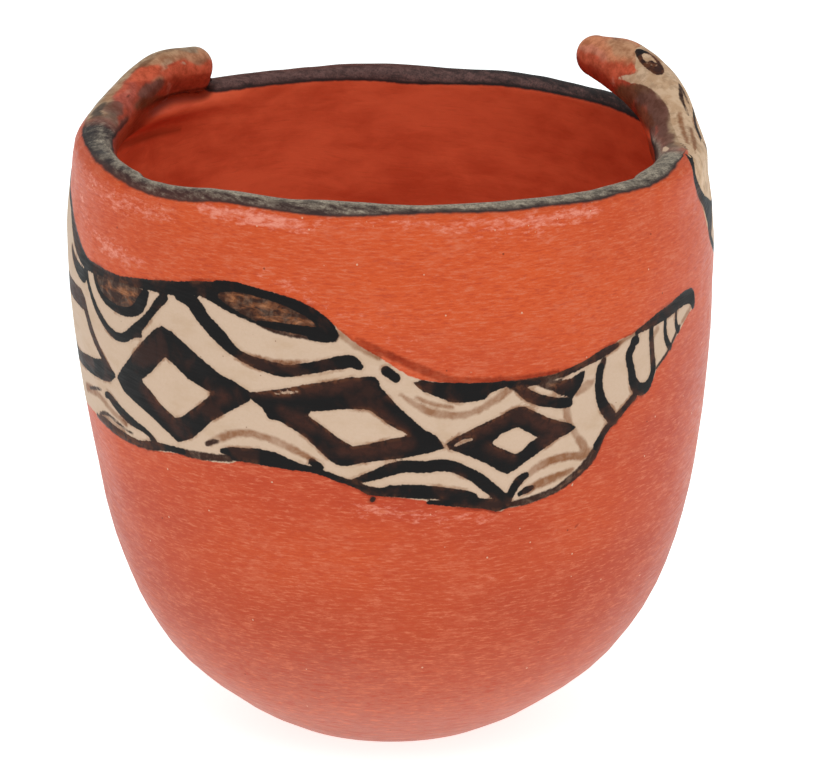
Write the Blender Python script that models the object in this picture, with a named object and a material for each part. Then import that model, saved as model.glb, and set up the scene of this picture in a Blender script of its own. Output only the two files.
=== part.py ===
"""A clay jar built up by hand in coils, scraped, slipped and fired.

It is one piece of earthenware: a deep open bowl of a jar with an uneven round lip, and two snake heads
of rolled clay pressed onto the rim while it was wet. The left head lies along the rim, the right one
rises from it and leans in over the mouth. The jar stands on a flat foot and is empty inside.
"""

import math

import bmesh
import bpy
from mathutils import Vector

# Sizes of the body, in metres
RIM_HEIGHT = 0.13965
BELLY_RADIUS = 0.075
BELLY_HEIGHT = 0.116
FOOT_RADIUS = 0.028
RIM_RADIUS = 0.0732
WALL_AT_RIM = 0.0066
WALL_AT_BELLY = 0.0062
WALL_AT_FOOT = 0.0085
LIP_ROUNDING = 0.0034

# The outer curve from foot to belly, as shares of the belly's height and of the way from the foot's
# radius to the belly's
OUTER_CURVE = (
    (0.0, 0.0),
    (0.0345, 0.157),
    (0.069, 0.277),
    (0.1207, 0.436),
    (0.19, 0.587),
    (0.293, 0.734),
    (0.431, 0.847),
    (0.603, 0.926),
    (0.793, 0.979),
    (1.0, 1.0),
)

# Marks of handwork: the lower body bulges to one side, the wall and the rim run a little uneven
LEAN = 0.0013
MOUTH_LEAN = 0.0003
LEAN_HEIGHT = 0.052
WALL_WAVES = ((2, 0.00035, 0.785), (3, 0.00025, 0.524), (5, 0.00012, 0.314))
RIM_WAVES = ((1, 0.00109, 2.35), (2, 0.00039, -1.13), (4, 0.00037, -0.24))

# The rim is thickened inwards where each head grows out of it: angle round the jar in degrees, span
# to either side in degrees, and the added clay
THICKENINGS = ((180, 36, 0.0018), (-2, 32, 0.0048))
THICKENED_DEPTH = 0.02

# A low ledge of clay left inside the rim below the left head
LEDGE_REACH = 0.0014
LEDGE_DEPTH = 0.0042
LEDGE_TALL = 0.0036
LEDGE_ANGLE = math.radians(150)
LEDGE_SPAN = math.radians(30)

# Each head is a rolled coil. A station is an angle round the jar in degrees, then in metres how far the
# coil's middle is set in from the outside of the rim, its height over the crest of the rim, and its
# half width and half thickness
LEFT_HEAD = (
    (214, 0.0038, -0.0046, 0.0026, 0.0036),
    (202, 0.0039, -0.0045, 0.0034, 0.0041),
    (190, 0.0044, -0.0042, 0.0040, 0.0044),
    (180, 0.0048, -0.0037, 0.0043, 0.0044),
    (170, 0.0051, -0.0026, 0.0044, 0.0044),
    (161, 0.0052, -0.0006, 0.0045, 0.0044),
    (152, 0.0052, 0.0018, 0.0046, 0.0047),
    (143, 0.0051, 0.0040, 0.0047, 0.0050),
    (134, 0.0052, 0.0041, 0.0046, 0.0051),
)
RIGHT_HEAD = (
    (-34, 0.0044, -0.0048, 0.0026, 0.0038),
    (-22, 0.0048, -0.0048, 0.0040, 0.0048),
    (-11, 0.0056, -0.0044, 0.0053, 0.0057),
    (-2, 0.0063, -0.0027, 0.0060, 0.0060),
    (5, 0.0072, 0.0006, 0.0063, 0.0062),
    (11, 0.0081, 0.0045, 0.0065, 0.0065),
    (18.5, 0.0093, 0.0078, 0.0066, 0.0067),
    (27, 0.0113, 0.0106, 0.0062, 0.0065),
    (34.7, 0.0135, 0.0117, 0.0047, 0.0049),
)

COLUMNS = 80
STEPS_PER_SPAN = 2
LIP_STEPS = 8
COIL_SIDES = 16
SNOUT_STEPS = 4
SHARP_ANGLE = math.radians(25)


def ease(share):
    """A smooth rise from 0 to 1."""
    share = min(max(share, 0.0), 1.0)
    return share * share * (3 - 2 * share)


def hump(distance, reach):
    """1 at the middle, falling smoothly to 0 at the reach."""
    return ease(1 - abs(distance) / reach)


def between(before, start, end, after, share):
    """A smooth curve's value some share of the way from start to end."""
    slope = (end - before) / 2
    bend = before - 2.5 * start + 2 * end - after / 2
    twist = 1.5 * (start - end) + (after - before) / 2
    return start + share * slope + share**2 * bend + share**3 * twist


def through(points, steps):
    """A smooth curve through the points, each a tuple of any length."""
    first = [2 * a - b for a, b in zip(points[0], points[1])]
    last = [2 * a - b for a, b in zip(points[-1], points[-2])]
    row = [first, *points, last]
    curve = []
    for four in zip(row, row[1:], row[2:], row[3:]):
        for step in range(steps):
            curve.append(tuple(between(*values, step / steps) for values in zip(*four)))
    curve.append(tuple(points[-1]))
    return curve


def outer_curve():
    """(radius, height) up the outside, from the edge of the foot to where the lip begins to round."""
    points = [
        (FOOT_RADIUS + reach * (BELLY_RADIUS - FOOT_RADIUS), rise * BELLY_HEIGHT)
        for rise, reach in OUTER_CURVE
    ]
    points.append((RIM_RADIUS, RIM_HEIGHT - LIP_ROUNDING))
    return through(points, STEPS_PER_SPAN)


def wall_thickness(height):
    lower = WALL_AT_FOOT + (WALL_AT_BELLY - WALL_AT_FOOT) * ease(height / BELLY_HEIGHT)
    share = ease((height - BELLY_HEIGHT) / (RIM_HEIGHT - BELLY_HEIGHT))
    return lower + (WALL_AT_RIM - WALL_AT_BELLY) * share


def inner_curve(outer):
    """(radius, height) down the inside: the outer curve set in by the wall, then the floor."""
    inner = []
    for before, here, after in zip(outer, outer[1:], outer[2:] + outer[-1:]):
        along = Vector((after[0] - before[0], after[1] - before[1])).normalized()
        thick = wall_thickness(here[1])
        inner.append((here[0] - along.y * thick, here[1] + along.x * thick))
    inner[-1] = (RIM_RADIUS - WALL_AT_RIM, RIM_HEIGHT - LIP_ROUNDING)
    return inner[::-1]


def lip_curve():
    """(radius, height, share of the way inwards) over the rounded lip, from outside to inside."""
    middle = RIM_RADIUS - WALL_AT_RIM / 2
    curve = []
    for step in range(1, LIP_STEPS):
        turn = math.pi * step / LIP_STEPS
        across = WALL_AT_RIM / 2 * math.cos(turn)
        height = RIM_HEIGHT - LIP_ROUNDING + LIP_ROUNDING * math.sin(turn)
        curve.append((middle + across, height, (1 - math.cos(turn)) / 2))
    return curve


def wave(waves, angle):
    return sum(size * math.cos(count * (angle - start)) for count, size, start in waves)


def around(angle, middle, span):
    """1 at the middle angle, falling smoothly to 0 a span away on either side, all in radians."""
    return hump(math.remainder(angle - middle, 2 * math.pi), span)


def sideways(height):
    """How far the middle of the body stands to the right at a height."""
    size = LEAN if height < 2 * LEAN_HEIGHT else MOUTH_LEAN
    return size * math.sin(math.pi * height / (2 * LEAN_HEIGHT))


def placed(angle, radius, height, inward):
    """A point of the body, with the unevenness of handwork. Inward is 0 outside and 1 inside."""
    radius += wave(WALL_WAVES, angle) * ease(height / BELLY_HEIGHT)
    near_rim = ease(1 - (RIM_HEIGHT - height) / THICKENED_DEPTH)
    for degrees, span, added in THICKENINGS:
        radius -= inward * near_rim * added * around(angle, math.radians(degrees), math.radians(span))
    level = hump(RIM_HEIGHT - LEDGE_DEPTH - height, LEDGE_TALL)
    radius -= inward * LEDGE_REACH * level * around(angle, LEDGE_ANGLE, LEDGE_SPAN)
    lift = wave(RIM_WAVES, angle) * ease((height - LEAN_HEIGHT) / (RIM_HEIGHT - LEAN_HEIGHT))
    x = sideways(height) + radius * math.cos(angle)
    return Vector((x, radius * math.sin(angle), height + lift))


def new_object(name, mesh):
    thing = bpy.data.objects.new(name, mesh)
    bpy.context.scene.collection.objects.link(thing)
    return thing


def skin(bm, rings, closed_ends):
    """Faces between neighbouring rings of vertices, and flat faces over the two ends if asked."""
    for lower, upper in zip(rings, rings[1:]):
        count = len(lower)
        for i in range(count):
            j = (i + 1) % count
            bm.faces.new((lower[i], lower[j], upper[j], upper[i]))
    if closed_ends:
        bm.faces.new(rings[0][::-1])
        bm.faces.new(rings[-1])


def make_body():
    """The hollow body as one closed skin: foot, outside, lip, inside and floor."""
    outer = outer_curve()
    path = [(r, z, 0.0) for r, z in outer]
    path += lip_curve()
    path += [(r, z, 1.0) for r, z in inner_curve(outer)]
    bm = bmesh.new()
    rings = []
    for radius, height, inward in path:
        ring = []
        for column in range(COLUMNS):
            angle = 2 * math.pi * column / COLUMNS
            ring.append(bm.verts.new(placed(angle, radius, height, inward)))
        rings.append(ring)
    skin(bm, rings, False)
    bm.faces.new(rings[0][::-1])
    middle = bm.verts.new((0.0, 0.0, WALL_AT_FOOT))
    last = rings[-1]
    for i in range(COLUMNS):
        bm.faces.new((last[i], last[(i + 1) % COLUMNS], middle))
    bmesh.ops.recalc_face_normals(bm, faces=bm.faces)
    mesh = bpy.data.meshes.new("jar")
    bm.to_mesh(mesh)
    bm.free()
    return new_object("jar", mesh)


def head_stations(head):
    """Centre, half width and half thickness along the coil, rounded off at the snout."""
    stations = []
    for degrees, inset, rise, wide, thick in through(head, STEPS_PER_SPAN):
        angle = math.radians(degrees)
        reach = RIM_RADIUS - inset
        height = RIM_HEIGHT + wave(RIM_WAVES, angle) + rise
        centre = Vector((sideways(height) + reach * math.cos(angle), reach * math.sin(angle), height))
        stations.append((centre, wide, thick))
    tip, wide, thick = stations[-1]
    ahead = (tip - stations[-2][0]).normalized()
    for step in range(1, SNOUT_STEPS):
        turn = math.pi / 2 * step / SNOUT_STEPS
        centre = tip + ahead * wide * math.sin(turn)
        stations.append((centre, wide * math.cos(turn), thick * math.cos(turn)))
    return stations


def make_head(name, head):
    """One snake head: a coil of oval section, its hidden end buried in the wall."""
    stations = head_stations(head)
    bm = bmesh.new()
    rings = []
    for i, (centre, wide, thick) in enumerate(stations):
        before = stations[max(i - 1, 0)][0]
        after = stations[min(i + 1, len(stations) - 1)][0]
        along = (after - before).normalized()
        outward = Vector((centre.x, centre.y, 0.0))
        side = (outward - along * outward.dot(along)).normalized()
        up = along.cross(side)
        ring = []
        for k in range(COIL_SIDES):
            turn = 2 * math.pi * k / COIL_SIDES
            ring.append(bm.verts.new(centre + side * wide * math.cos(turn) + up * thick * math.sin(turn)))
        rings.append(ring)
    skin(bm, rings, True)
    bmesh.ops.recalc_face_normals(bm, faces=bm.faces)
    mesh = bpy.data.meshes.new(name)
    bm.to_mesh(mesh)
    bm.free()
    coil = new_object(name, mesh)
    coil.hide_render = True
    coil.display_type = "WIRE"
    return coil


def join_wet(body, coil):
    """The coil and the body become one piece of clay."""
    joint = body.modifiers.new(coil.name, "BOOLEAN")
    joint.operation = "UNION"
    joint.solver = "EXACT"
    joint.object = coil


def finish_clay(body):
    """Burnished red slip over the whole jar, shaded round but for the edge of the foot."""
    clay = bpy.data.materials.new("red slip")
    clay.use_nodes = True
    shader = clay.node_tree.nodes["Principled BSDF"]
    shader.inputs["Base Color"].default_value = (0.56, 0.11, 0.035, 1.0)
    shader.inputs["Roughness"].default_value = 0.5
    shader.inputs["Metallic"].default_value = 0.0
    body.data.materials.append(clay)
    body.data.shade_smooth()
    body.data.set_sharp_from_angle(angle=SHARP_ANGLE)


for thing in list(bpy.data.objects):
    bpy.data.objects.remove(thing)

jar = make_body()
finish_clay(jar)
join_wet(jar, make_head("left_head_coil", LEFT_HEAD))
join_wet(jar, make_head("right_head_coil", RIGHT_HEAD))
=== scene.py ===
import math

import bmesh
import bpy
import numpy as np
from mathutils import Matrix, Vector, noise
from mathutils.bvhtree import BVHTree


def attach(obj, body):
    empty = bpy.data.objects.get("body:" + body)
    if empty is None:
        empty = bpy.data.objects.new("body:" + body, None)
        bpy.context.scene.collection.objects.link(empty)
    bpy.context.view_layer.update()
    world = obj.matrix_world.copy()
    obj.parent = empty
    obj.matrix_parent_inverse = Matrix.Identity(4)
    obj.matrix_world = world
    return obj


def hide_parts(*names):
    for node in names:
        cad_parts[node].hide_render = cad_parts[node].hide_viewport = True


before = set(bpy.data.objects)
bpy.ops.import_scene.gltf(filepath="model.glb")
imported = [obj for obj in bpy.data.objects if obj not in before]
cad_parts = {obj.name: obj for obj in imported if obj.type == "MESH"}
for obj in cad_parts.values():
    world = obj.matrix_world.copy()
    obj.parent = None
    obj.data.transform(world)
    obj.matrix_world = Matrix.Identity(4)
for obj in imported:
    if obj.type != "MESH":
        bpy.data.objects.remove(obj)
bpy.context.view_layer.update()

# The body is one piece of earthenware, built up by hand in coils and scraped to a wall of 6 to 8 mm.
# It has a small flat foot and a rounded lip, it bulges a little to one side, and its rim runs up and
# down, as the hand left it.

RIM_HEIGHT = 0.13965
BELLY_RADIUS = 0.075
BELLY_HEIGHT = 0.116
FOOT_RADIUS = 0.028
RIM_RADIUS = 0.0732
WALL_AT_RIM = 0.0066
WALL_AT_BELLY = 0.0062
WALL_AT_FOOT = 0.0085
LIP_ROUNDING = 0.0034
# Shares of the belly's height, and of the way from the foot's radius to the belly's
OUTER_CURVE = (
    (0.0, 0.0),
    (0.0345, 0.157),
    (0.069, 0.277),
    (0.1207, 0.436),
    (0.19, 0.587),
    (0.293, 0.734),
    (0.431, 0.847),
    (0.603, 0.926),
    (0.793, 0.979),
    (1.0, 1.0),
)
LEAN = 0.0013
MOUTH_LEAN = 0.0003
LEAN_HEIGHT = 0.052
# Waves: how many go round the jar, how high one is in metres, and the angle of its crest
WALL_WAVES = ((2, 0.00035, 0.785), (3, 0.00025, 0.524), (5, 0.00012, 0.314))
RIM_WAVES = ((1, 0.00109, 2.35), (2, 0.00039, -1.13), (4, 0.00037, -0.24))
# Clay added inside the rim under each head: middle and half span in degrees, and depth
THICKENINGS = ((180, 36, 0.0018), (-2, 32, 0.0048))
THICKENED_DEPTH = 0.02
# Where the outside of the lip is pinched in under each head, likewise
PINCHES = ((180, 44, 0.0011), (2, 26, 0.0010))
PINCH_DEPTH = 0.011
# Small dips and rises of the rim: middle and half span in degrees, and height
RIM_BUMPS = ((-120, 15, 0.0008), (-99, 10, 0.0002), (97, 15, 0.0005), (78, 14, -0.0006))
# A ledge of clay inside the rim under the left head
LEDGE_REACH = 0.0027
LEDGE_DEPTH = 0.0056
LEDGE_TALL = 0.0034
LEDGE_ANGLE = 150
LEDGE_SPAN = 34
CURVE_STEPS = 16


def ease(share):
    """A smooth rise from 0 to 1."""
    share = np.clip(share, 0.0, 1.0)
    return share * share * (3 - 2 * share)


def hump(distance, reach):
    """1 at the middle, falling smoothly to 0 at the reach."""
    return ease(1 - np.abs(distance) / reach)


def smooth_line(points, steps):
    """A smooth curve through the points, one row each."""
    points = np.array(points, float)
    row = np.vstack([2 * points[0] - points[1], points, 2 * points[-1] - points[-2]])
    before, start, end, after = (row[i : len(row) - 3 + i, None] for i in range(4))
    share = (np.arange(steps) / steps)[None, :, None]
    slope = (end - before) / 2
    bend = before - 2.5 * start + 2 * end - after / 2
    twist = 1.5 * (start - end) + (after - before) / 2
    curve = start + share * slope + share**2 * bend + share**3 * twist
    return np.vstack([curve.reshape(-1, points.shape[1]), points[-1]])


def wave(waves, angle):
    """How far all the waves together stand out at an angle."""
    return sum(size * np.cos(count * (angle - start)) for count, size, start in waves)


def around(angle, middle, span):
    """1 at the middle angle, falling smoothly to 0 a span away on either side. Both are in degrees."""
    away = np.mod(angle - math.radians(middle) + math.pi, 2 * math.pi) - math.pi
    return hump(away, math.radians(span))


def sideways(height):
    """How far the middle of the body stands to the right at a height."""
    size = np.where(height < 2 * LEAN_HEIGHT, LEAN, MOUTH_LEAN)
    return size * np.sin(math.pi * height / (2 * LEAN_HEIGHT))


def placed(angle, radius, height, inward):
    """Points of the body, with the unevenness of handwork. Inward is 0 outside and 1 inside."""
    radius = radius + wave(WALL_WAVES, angle) * ease(height / BELLY_HEIGHT)
    near_rim = ease(1 - (RIM_HEIGHT - height) / THICKENED_DEPTH)
    for middle, span, added in THICKENINGS:
        radius = radius - inward * near_rim * added * around(angle, middle, span)
    at_lip = ease(1 - (RIM_HEIGHT - height) / PINCH_DEPTH)
    for middle, span, depth in PINCHES:
        radius = radius - (1 - inward) * at_lip * depth * around(angle, middle, span)
    level = hump(RIM_HEIGHT - LEDGE_DEPTH - height, LEDGE_TALL)
    radius = radius - inward * LEDGE_REACH * level * around(angle, LEDGE_ANGLE, LEDGE_SPAN)
    lift = wave(RIM_WAVES, angle) * ease((height - LEAN_HEIGHT) / (RIM_HEIGHT - LEAN_HEIGHT))
    for middle, span, size in RIM_BUMPS:
        lift = lift + size * near_rim * around(angle, middle, span)
    x = sideways(height) + radius * np.cos(angle)
    return np.stack([x, radius * np.sin(angle), height + lift], axis=-1)


def outer_wall():
    """Radius and height up the outside, from the edge of the foot to where the lip begins."""
    points = [
        (FOOT_RADIUS + reach * (BELLY_RADIUS - FOOT_RADIUS), rise * BELLY_HEIGHT)
        for rise, reach in OUTER_CURVE
    ]
    points.append((RIM_RADIUS, RIM_HEIGHT - LIP_ROUNDING))
    return smooth_line(points, CURVE_STEPS)


def inner_wall(outer):
    """Radius and height down the inside: the outer curve set in by the wall."""
    along = np.gradient(outer, axis=0)
    along /= np.linalg.norm(along, axis=1)[:, None]
    height = outer[:, 1]
    over_belly = ease((height - BELLY_HEIGHT) / (RIM_HEIGHT - BELLY_HEIGHT))
    thick = WALL_AT_FOOT + (WALL_AT_BELLY - WALL_AT_FOOT) * ease(height / BELLY_HEIGHT)
    thick = thick + (WALL_AT_RIM - WALL_AT_BELLY) * over_belly
    inner = outer + thick[:, None] * np.stack([-along[:, 1], along[:, 0]], axis=1)
    inner[-1] = RIM_RADIUS - WALL_AT_RIM, RIM_HEIGHT - LIP_ROUNDING
    return inner[::-1]


# The painted bands need a close mesh, so the columns crowd together where the paint shows and the rows
# follow the bands up and down. A crowding row is an angle in degrees and the columns for each degree.
CROWDING = (
    (-222, 1.2),
    (-180, 1.6),
    (-168, 3.4),
    (-26, 3.4),
    (-20, 2.2),
    (8, 1.8),
    (20, 1.0),
    (125, 1.0),
    (138, 1.2),
)
# Angle in degrees, then the heights in mm that the close rows keep to
BAND_ROWS = (
    (-222, 99, 121),
    (-217, 103, 135.3),
    (-208, 97, 135.3),
    (-200, 88, 135.3),
    (-190, 78, 135.3),
    (-180, 73.5, 135.3),
    (-172, 73.5, 134.5),
    (-165, 74, 127),
    (-157, 74, 121),
    (-145, 73.5, 120),
    (-128, 75, 121.5),
    (-118, 75.5, 124.5),
    (-105, 74.5, 121),
    (-93, 70.5, 112),
    (-82, 68.5, 105),
    (-72, 66, 103),
    (-60, 68, 103.5),
    (-50, 78, 107),
    (-40, 86.5, 110.5),
    (-30, 97, 113.5),
    (-25, 100, 116),
    (-20, 101, 134),
    (-14, 101, 135.3),
    (-2, 101, 135.3),
    (8, 97, 135.3),
    (20, 89, 127),
    (36, 79.5, 122),
    (52, 75.5, 121.5),
    (68, 73.5, 116.5),
    (84, 72, 107),
    (98, 72.5, 105.5),
    (112, 84, 108),
    (128, 96, 113),
    (138, 99, 121),
)
ROW_STEPS = 8
FINE_COLUMNS = 768
FINE_TO_COARSE = 4
# The crowding is added up in this many steps round the jar
CROWDING_STEPS = 7200
# The rows below the band crowd towards the foot by this power
LOW_CROWDING = 1.35
BAND_STEPS = 72
NECK_STEPS = 8
LOW_STEPS = 20
LIP_STEPS = 12
INNER_STEPS = 25
INNER_RIM_STEPS = 9
INNER_RIM_SHARE = 0.075
FLOOR_STEPS = 6


def column_angles():
    """The angles of the close columns, in radians."""
    degrees, crowd = np.array(CROWDING, float).T
    fine = np.linspace(degrees[0], degrees[-1], CROWDING_STEPS + 1)
    total = np.concatenate([[0], np.cumsum(np.interp((fine[1:] + fine[:-1]) / 2, degrees, crowd))])
    share = np.arange(FINE_COLUMNS) / FINE_COLUMNS
    return np.radians(np.interp(share, total / total[-1], fine))


def make_body():
    """The hollow body as one closed skin, as points and faces: foot, outside, lip, inside and floor."""
    outer = outer_wall()
    inner = inner_wall(outer)
    angle = column_angles()
    coarse = angle[::FINE_TO_COARSE]
    rows = smooth_line(BAND_ROWS, ROW_STEPS)
    low = np.interp(np.degrees(angle), rows[:, 0], rows[:, 1]) / 1000
    high = np.interp(np.degrees(angle), rows[:, 0], rows[:, 2]) / 1000
    lip_start = RIM_HEIGHT - LIP_ROUNDING

    def reach(height):
        return np.interp(height, outer[:, 1], outer[:, 0])

    rings = []
    for share in np.linspace(0, 1, LOW_STEPS, endpoint=False):
        height = low[::FINE_TO_COARSE] * share**LOW_CROWDING
        rings.append(placed(coarse, reach(height), height, 0.0))
    for share in np.linspace(0, 1, BAND_STEPS, endpoint=False):
        height = low + (high - low) * share
        rings.append(placed(angle, reach(height), height, 0.0))
    for share in np.linspace(0, 1, NECK_STEPS, endpoint=False):
        height = high + (lip_start - high) * share
        rings.append(placed(angle, reach(height), height, 0.0))
    middle = RIM_RADIUS - WALL_AT_RIM / 2
    for turn in np.linspace(0, math.pi, LIP_STEPS + 1):
        radius = middle + WALL_AT_RIM / 2 * math.cos(turn)
        height = lip_start + LIP_ROUNDING * math.sin(turn)
        rings.append(placed(angle, radius, height, (1 - math.cos(turn)) / 2))
    length = np.concatenate([[0], np.cumsum(np.linalg.norm(np.diff(inner, axis=0), axis=1))])
    near_rim = np.linspace(0, INNER_RIM_SHARE, INNER_RIM_STEPS + 1)[1:]
    for share in (*near_rim, *np.linspace(INNER_RIM_SHARE, 1, INNER_STEPS + 1)[1:]):
        radius, height = (np.interp(share * length[-1], length, inner[:, k]) for k in (0, 1))
        rings.append(placed(angle if share <= INNER_RIM_SHARE else coarse, radius, height, 1.0))
    floor_radius, floor_height = inner[-1]
    for share in np.linspace(1, 0, FLOOR_STEPS, endpoint=False)[1:]:
        height = WALL_AT_FOOT + (floor_height - WALL_AT_FOOT) * share
        rings.append(placed(coarse, floor_radius * share, height, 1.0))

    points = np.vstack([*rings, [[0.0, 0.0, WALL_AT_FOOT]]])
    starts = np.concatenate([[0], np.cumsum([len(ring) for ring in rings])])
    faces = [tuple(range(len(coarse)))[::-1]]
    for k, (below, above) in enumerate(zip(rings, rings[1:])):
        faces += stitched(starts[k], len(below), starts[k + 1], len(above))
    last = starts[-2]
    faces += [(last + i, last + (i + 1) % len(coarse), len(points) - 1) for i in range(len(coarse))]
    return points, faces


def stitched(below, count_below, above, count_above):
    """Faces between two rings, where one may have several columns for each column of the other."""
    if count_below == count_above:
        i = np.arange(count_below)
        j = (i + 1) % count_below
        return np.stack([below + i, below + j, above + j, above + i], axis=1).tolist()
    faces = []
    times = max(count_below, count_above) // min(count_below, count_above)
    wide = min(count_below, count_above)
    fine_first, wide_first = (below, above) if count_below > count_above else (above, below)
    flip = count_below < count_above
    for i in range(wide):
        here, there = wide_first + i, wide_first + (i + 1) % wide
        fine = [fine_first + (i * times + k) % (wide * times) for k in range(times + 1)]
        half = times // 2
        fans = [(fine[k], fine[k + 1], here if k < half else there) for k in range(times)]
        fans.append((fine[half], there, here))
        faces += [fan[::-1] for fan in fans] if flip else fans
    return faces


# Two snake heads are rolled coils of clay, pressed onto the rim while it was wet and smoothed down, so
# that each grows out of the lip. The left one lies along the rim, the right one rises and leans inward.

# Angle in degrees, then in metres how far the coil's middle is set in from the outside of the rim, its
# height over the rim's crest, and its half width and half thickness
LEFT_HEAD = (
    (214, 0.0038, -0.0046, 0.0026, 0.0036),
    (202, 0.0042, -0.0045, 0.0034, 0.0041),
    (190, 0.0053, -0.0042, 0.0040, 0.0044),
    (180, 0.0060, -0.0037, 0.0042, 0.0044),
    (170, 0.0062, -0.0026, 0.0043, 0.0044),
    (161, 0.0057, -0.0006, 0.0045, 0.0044),
    (152, 0.0051, 0.0018, 0.0046, 0.0047),
    (143, 0.0050, 0.0041, 0.0047, 0.0050),
    (134, 0.0052, 0.0037, 0.0046, 0.0050),
)
RIGHT_HEAD = (
    (-34, 0.0044, -0.0048, 0.0026, 0.0038),
    (-22, 0.0050, -0.0048, 0.0039, 0.0048),
    (-11, 0.0061, -0.0044, 0.0051, 0.0057),
    (-2, 0.0070, -0.0027, 0.0058, 0.0060),
    (5, 0.0075, 0.0006, 0.0061, 0.0062),
    (11, 0.0083, 0.0045, 0.0063, 0.0065),
    (18.5, 0.0095, 0.0078, 0.0065, 0.0066),
    (27, 0.0113, 0.0106, 0.0062, 0.0064),
    (34.7, 0.0135, 0.0117, 0.0047, 0.0049),
)
COIL_SIDES = 56
COIL_STEPS = 14
SNOUT_STEPS = 10
FILLET = 0.0042
FILLET_PASSES = 3
FILLET_SLOPE = 0.35
# How far below the rim the coils' clay reaches, and how far the painted shade of the creases goes
JOINT_DEPTH = 0.02
CREASE_DEPTH = 0.016
CREASE_REACH = 0.0038
# Low swellings and dents of the whole surface: height in metres and how close together. They come in over
# the first stretch above the foot.
LUMPS, LUMPS_APART = 0.0003, 55.0
DENTS, DENTS_APART = 0.00012, 190.0
LUMPS_RISE = 0.02


def coil_stations(head):
    """Centres, sideways and upward directions, half widths and half thicknesses along a head's coil."""
    degrees, inset, rise, wide, thick = smooth_line(head, COIL_STEPS).T
    angle = np.radians(degrees)
    reach = RIM_RADIUS - inset
    height = RIM_HEIGHT + wave(RIM_WAVES, angle) + rise
    centre = np.stack([sideways(height) + reach * np.cos(angle), reach * np.sin(angle), height], axis=1)
    turn = np.linspace(0, math.pi / 2, SNOUT_STEPS, endpoint=False)[1:, None]
    ahead = (centre[-1] - centre[-2]) / np.linalg.norm(centre[-1] - centre[-2])
    centre = np.vstack([centre, centre[-1] + ahead * wide[-1] * np.sin(turn)])
    wide = np.concatenate([wide, wide[-1] * np.cos(turn[:, 0])])
    thick = np.concatenate([thick, thick[-1] * np.cos(turn[:, 0])])
    along = np.gradient(centre, axis=0)
    along /= np.linalg.norm(along, axis=1)[:, None]
    outward = centre * (1, 1, 0)
    side = outward - along * (outward * along).sum(axis=1)[:, None]
    side /= np.linalg.norm(side, axis=1)[:, None]
    return centre, side, np.cross(along, side), wide, thick


def make_coil(head):
    """One head as points and faces, closed at both ends."""
    centre, side, up, wide, thick = coil_stations(head)
    turn = np.linspace(0, 2 * math.pi, COIL_SIDES, endpoint=False)[None, :, None]
    ring = (
        centre[:, None]
        + side[:, None] * wide[:, None, None] * np.cos(turn)
        + up[:, None] * thick[:, None, None] * np.sin(turn)
    )
    faces = [tuple(range(COIL_SIDES))]
    for k in range(len(ring) - 1):
        faces += stitched(k * COIL_SIDES, COIL_SIDES, (k + 1) * COIL_SIDES, COIL_SIDES)
    last = (len(ring) - 1) * COIL_SIDES
    faces.append(tuple(range(last, last + COIL_SIDES))[::-1])
    return ring.reshape(-1, 3), faces


def clay_object(name, points, faces):
    """A mesh object with its faces turned outward."""
    mesh = bpy.data.meshes.new(name)
    mesh.from_pydata(np.asarray(points).tolist(), [], faces)
    solid = bmesh.new()
    solid.from_mesh(mesh)
    bmesh.ops.recalc_face_normals(solid, faces=solid.faces)
    solid.to_mesh(mesh)
    solid.free()
    thing = bpy.data.objects.new(name, mesh)
    bpy.context.scene.collection.objects.link(thing)
    return thing


body = clay_object("jar_clay", *make_body())
coils = [clay_object("left_coil", *make_coil(LEFT_HEAD)), clay_object("right_coil", *make_coil(RIGHT_HEAD))]
surfaces = []
for thing in (body, *coils):
    corners = [vertex.co.copy() for vertex in thing.data.vertices]
    surfaces.append(BVHTree.FromPolygons(corners, [tuple(face.vertices) for face in thing.data.polygons]))
for coil in coils:
    joint = body.modifiers.new(coil.name, "BOOLEAN")
    joint.operation = "UNION"
    joint.solver = "EXACT"
    joint.object = coil
bpy.context.view_layer.update()
joined = bpy.data.meshes.new_from_object(body.evaluated_get(bpy.context.evaluated_depsgraph_get()))
body.modifiers.clear()
body.data = joined
for coil in coils:
    bpy.data.objects.remove(coil)


def away_from(surface, point):
    """How far outside a surface a point is, and the direction out of it."""
    near, normal, _, distance = surface.find_nearest(point)
    outside = (point - near).dot(normal) >= 0
    if distance < 1e-6:
        return 0.0, normal
    direction = (point - near) / distance
    return (distance, direction) if outside else (-distance, -direction)


def smooth_joints():
    """Fills the crease between each coil and the wall with a soft fillet, as a wet finger leaves it."""
    wall = surfaces[0]
    for coil in surfaces[1:]:
        for vertex in body.data.vertices:
            if vertex.co.z < RIM_HEIGHT - JOINT_DEPTH:
                continue
            if coil.find_nearest(vertex.co, FILLET)[0] is None:
                continue
            for _ in range(FILLET_PASSES):
                from_wall, out_of_wall = away_from(wall, vertex.co)
                from_coil, out_of_coil = away_from(coil, vertex.co)
                near = max(FILLET - abs(from_wall - from_coil), 0.0) / FILLET
                if near == 0.0:
                    break
                field = min(from_wall, from_coil) - near * near * FILLET / 4
                lean = 0.5 + 0.5 * max(-1.0, min(1.0, (from_wall - from_coil) / FILLET))
                out = out_of_wall.lerp(out_of_coil, lean)
                steep = max(out.length, FILLET_SLOPE)
                vertex.co = vertex.co - out * (field / steep**2)


def in_crease(point):
    """1 in the crease where a coil meets the wall, falling to 0 some 2 mm away from both."""
    if point.z < RIM_HEIGHT - CREASE_DEPTH:
        return 0.0
    from_wall = surfaces[0].find_nearest(point)[3]
    from_coil = min(coil.find_nearest(point)[3] for coil in surfaces[1:])
    return float(ease(1.3 - (from_wall + from_coil) / CREASE_REACH))


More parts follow.
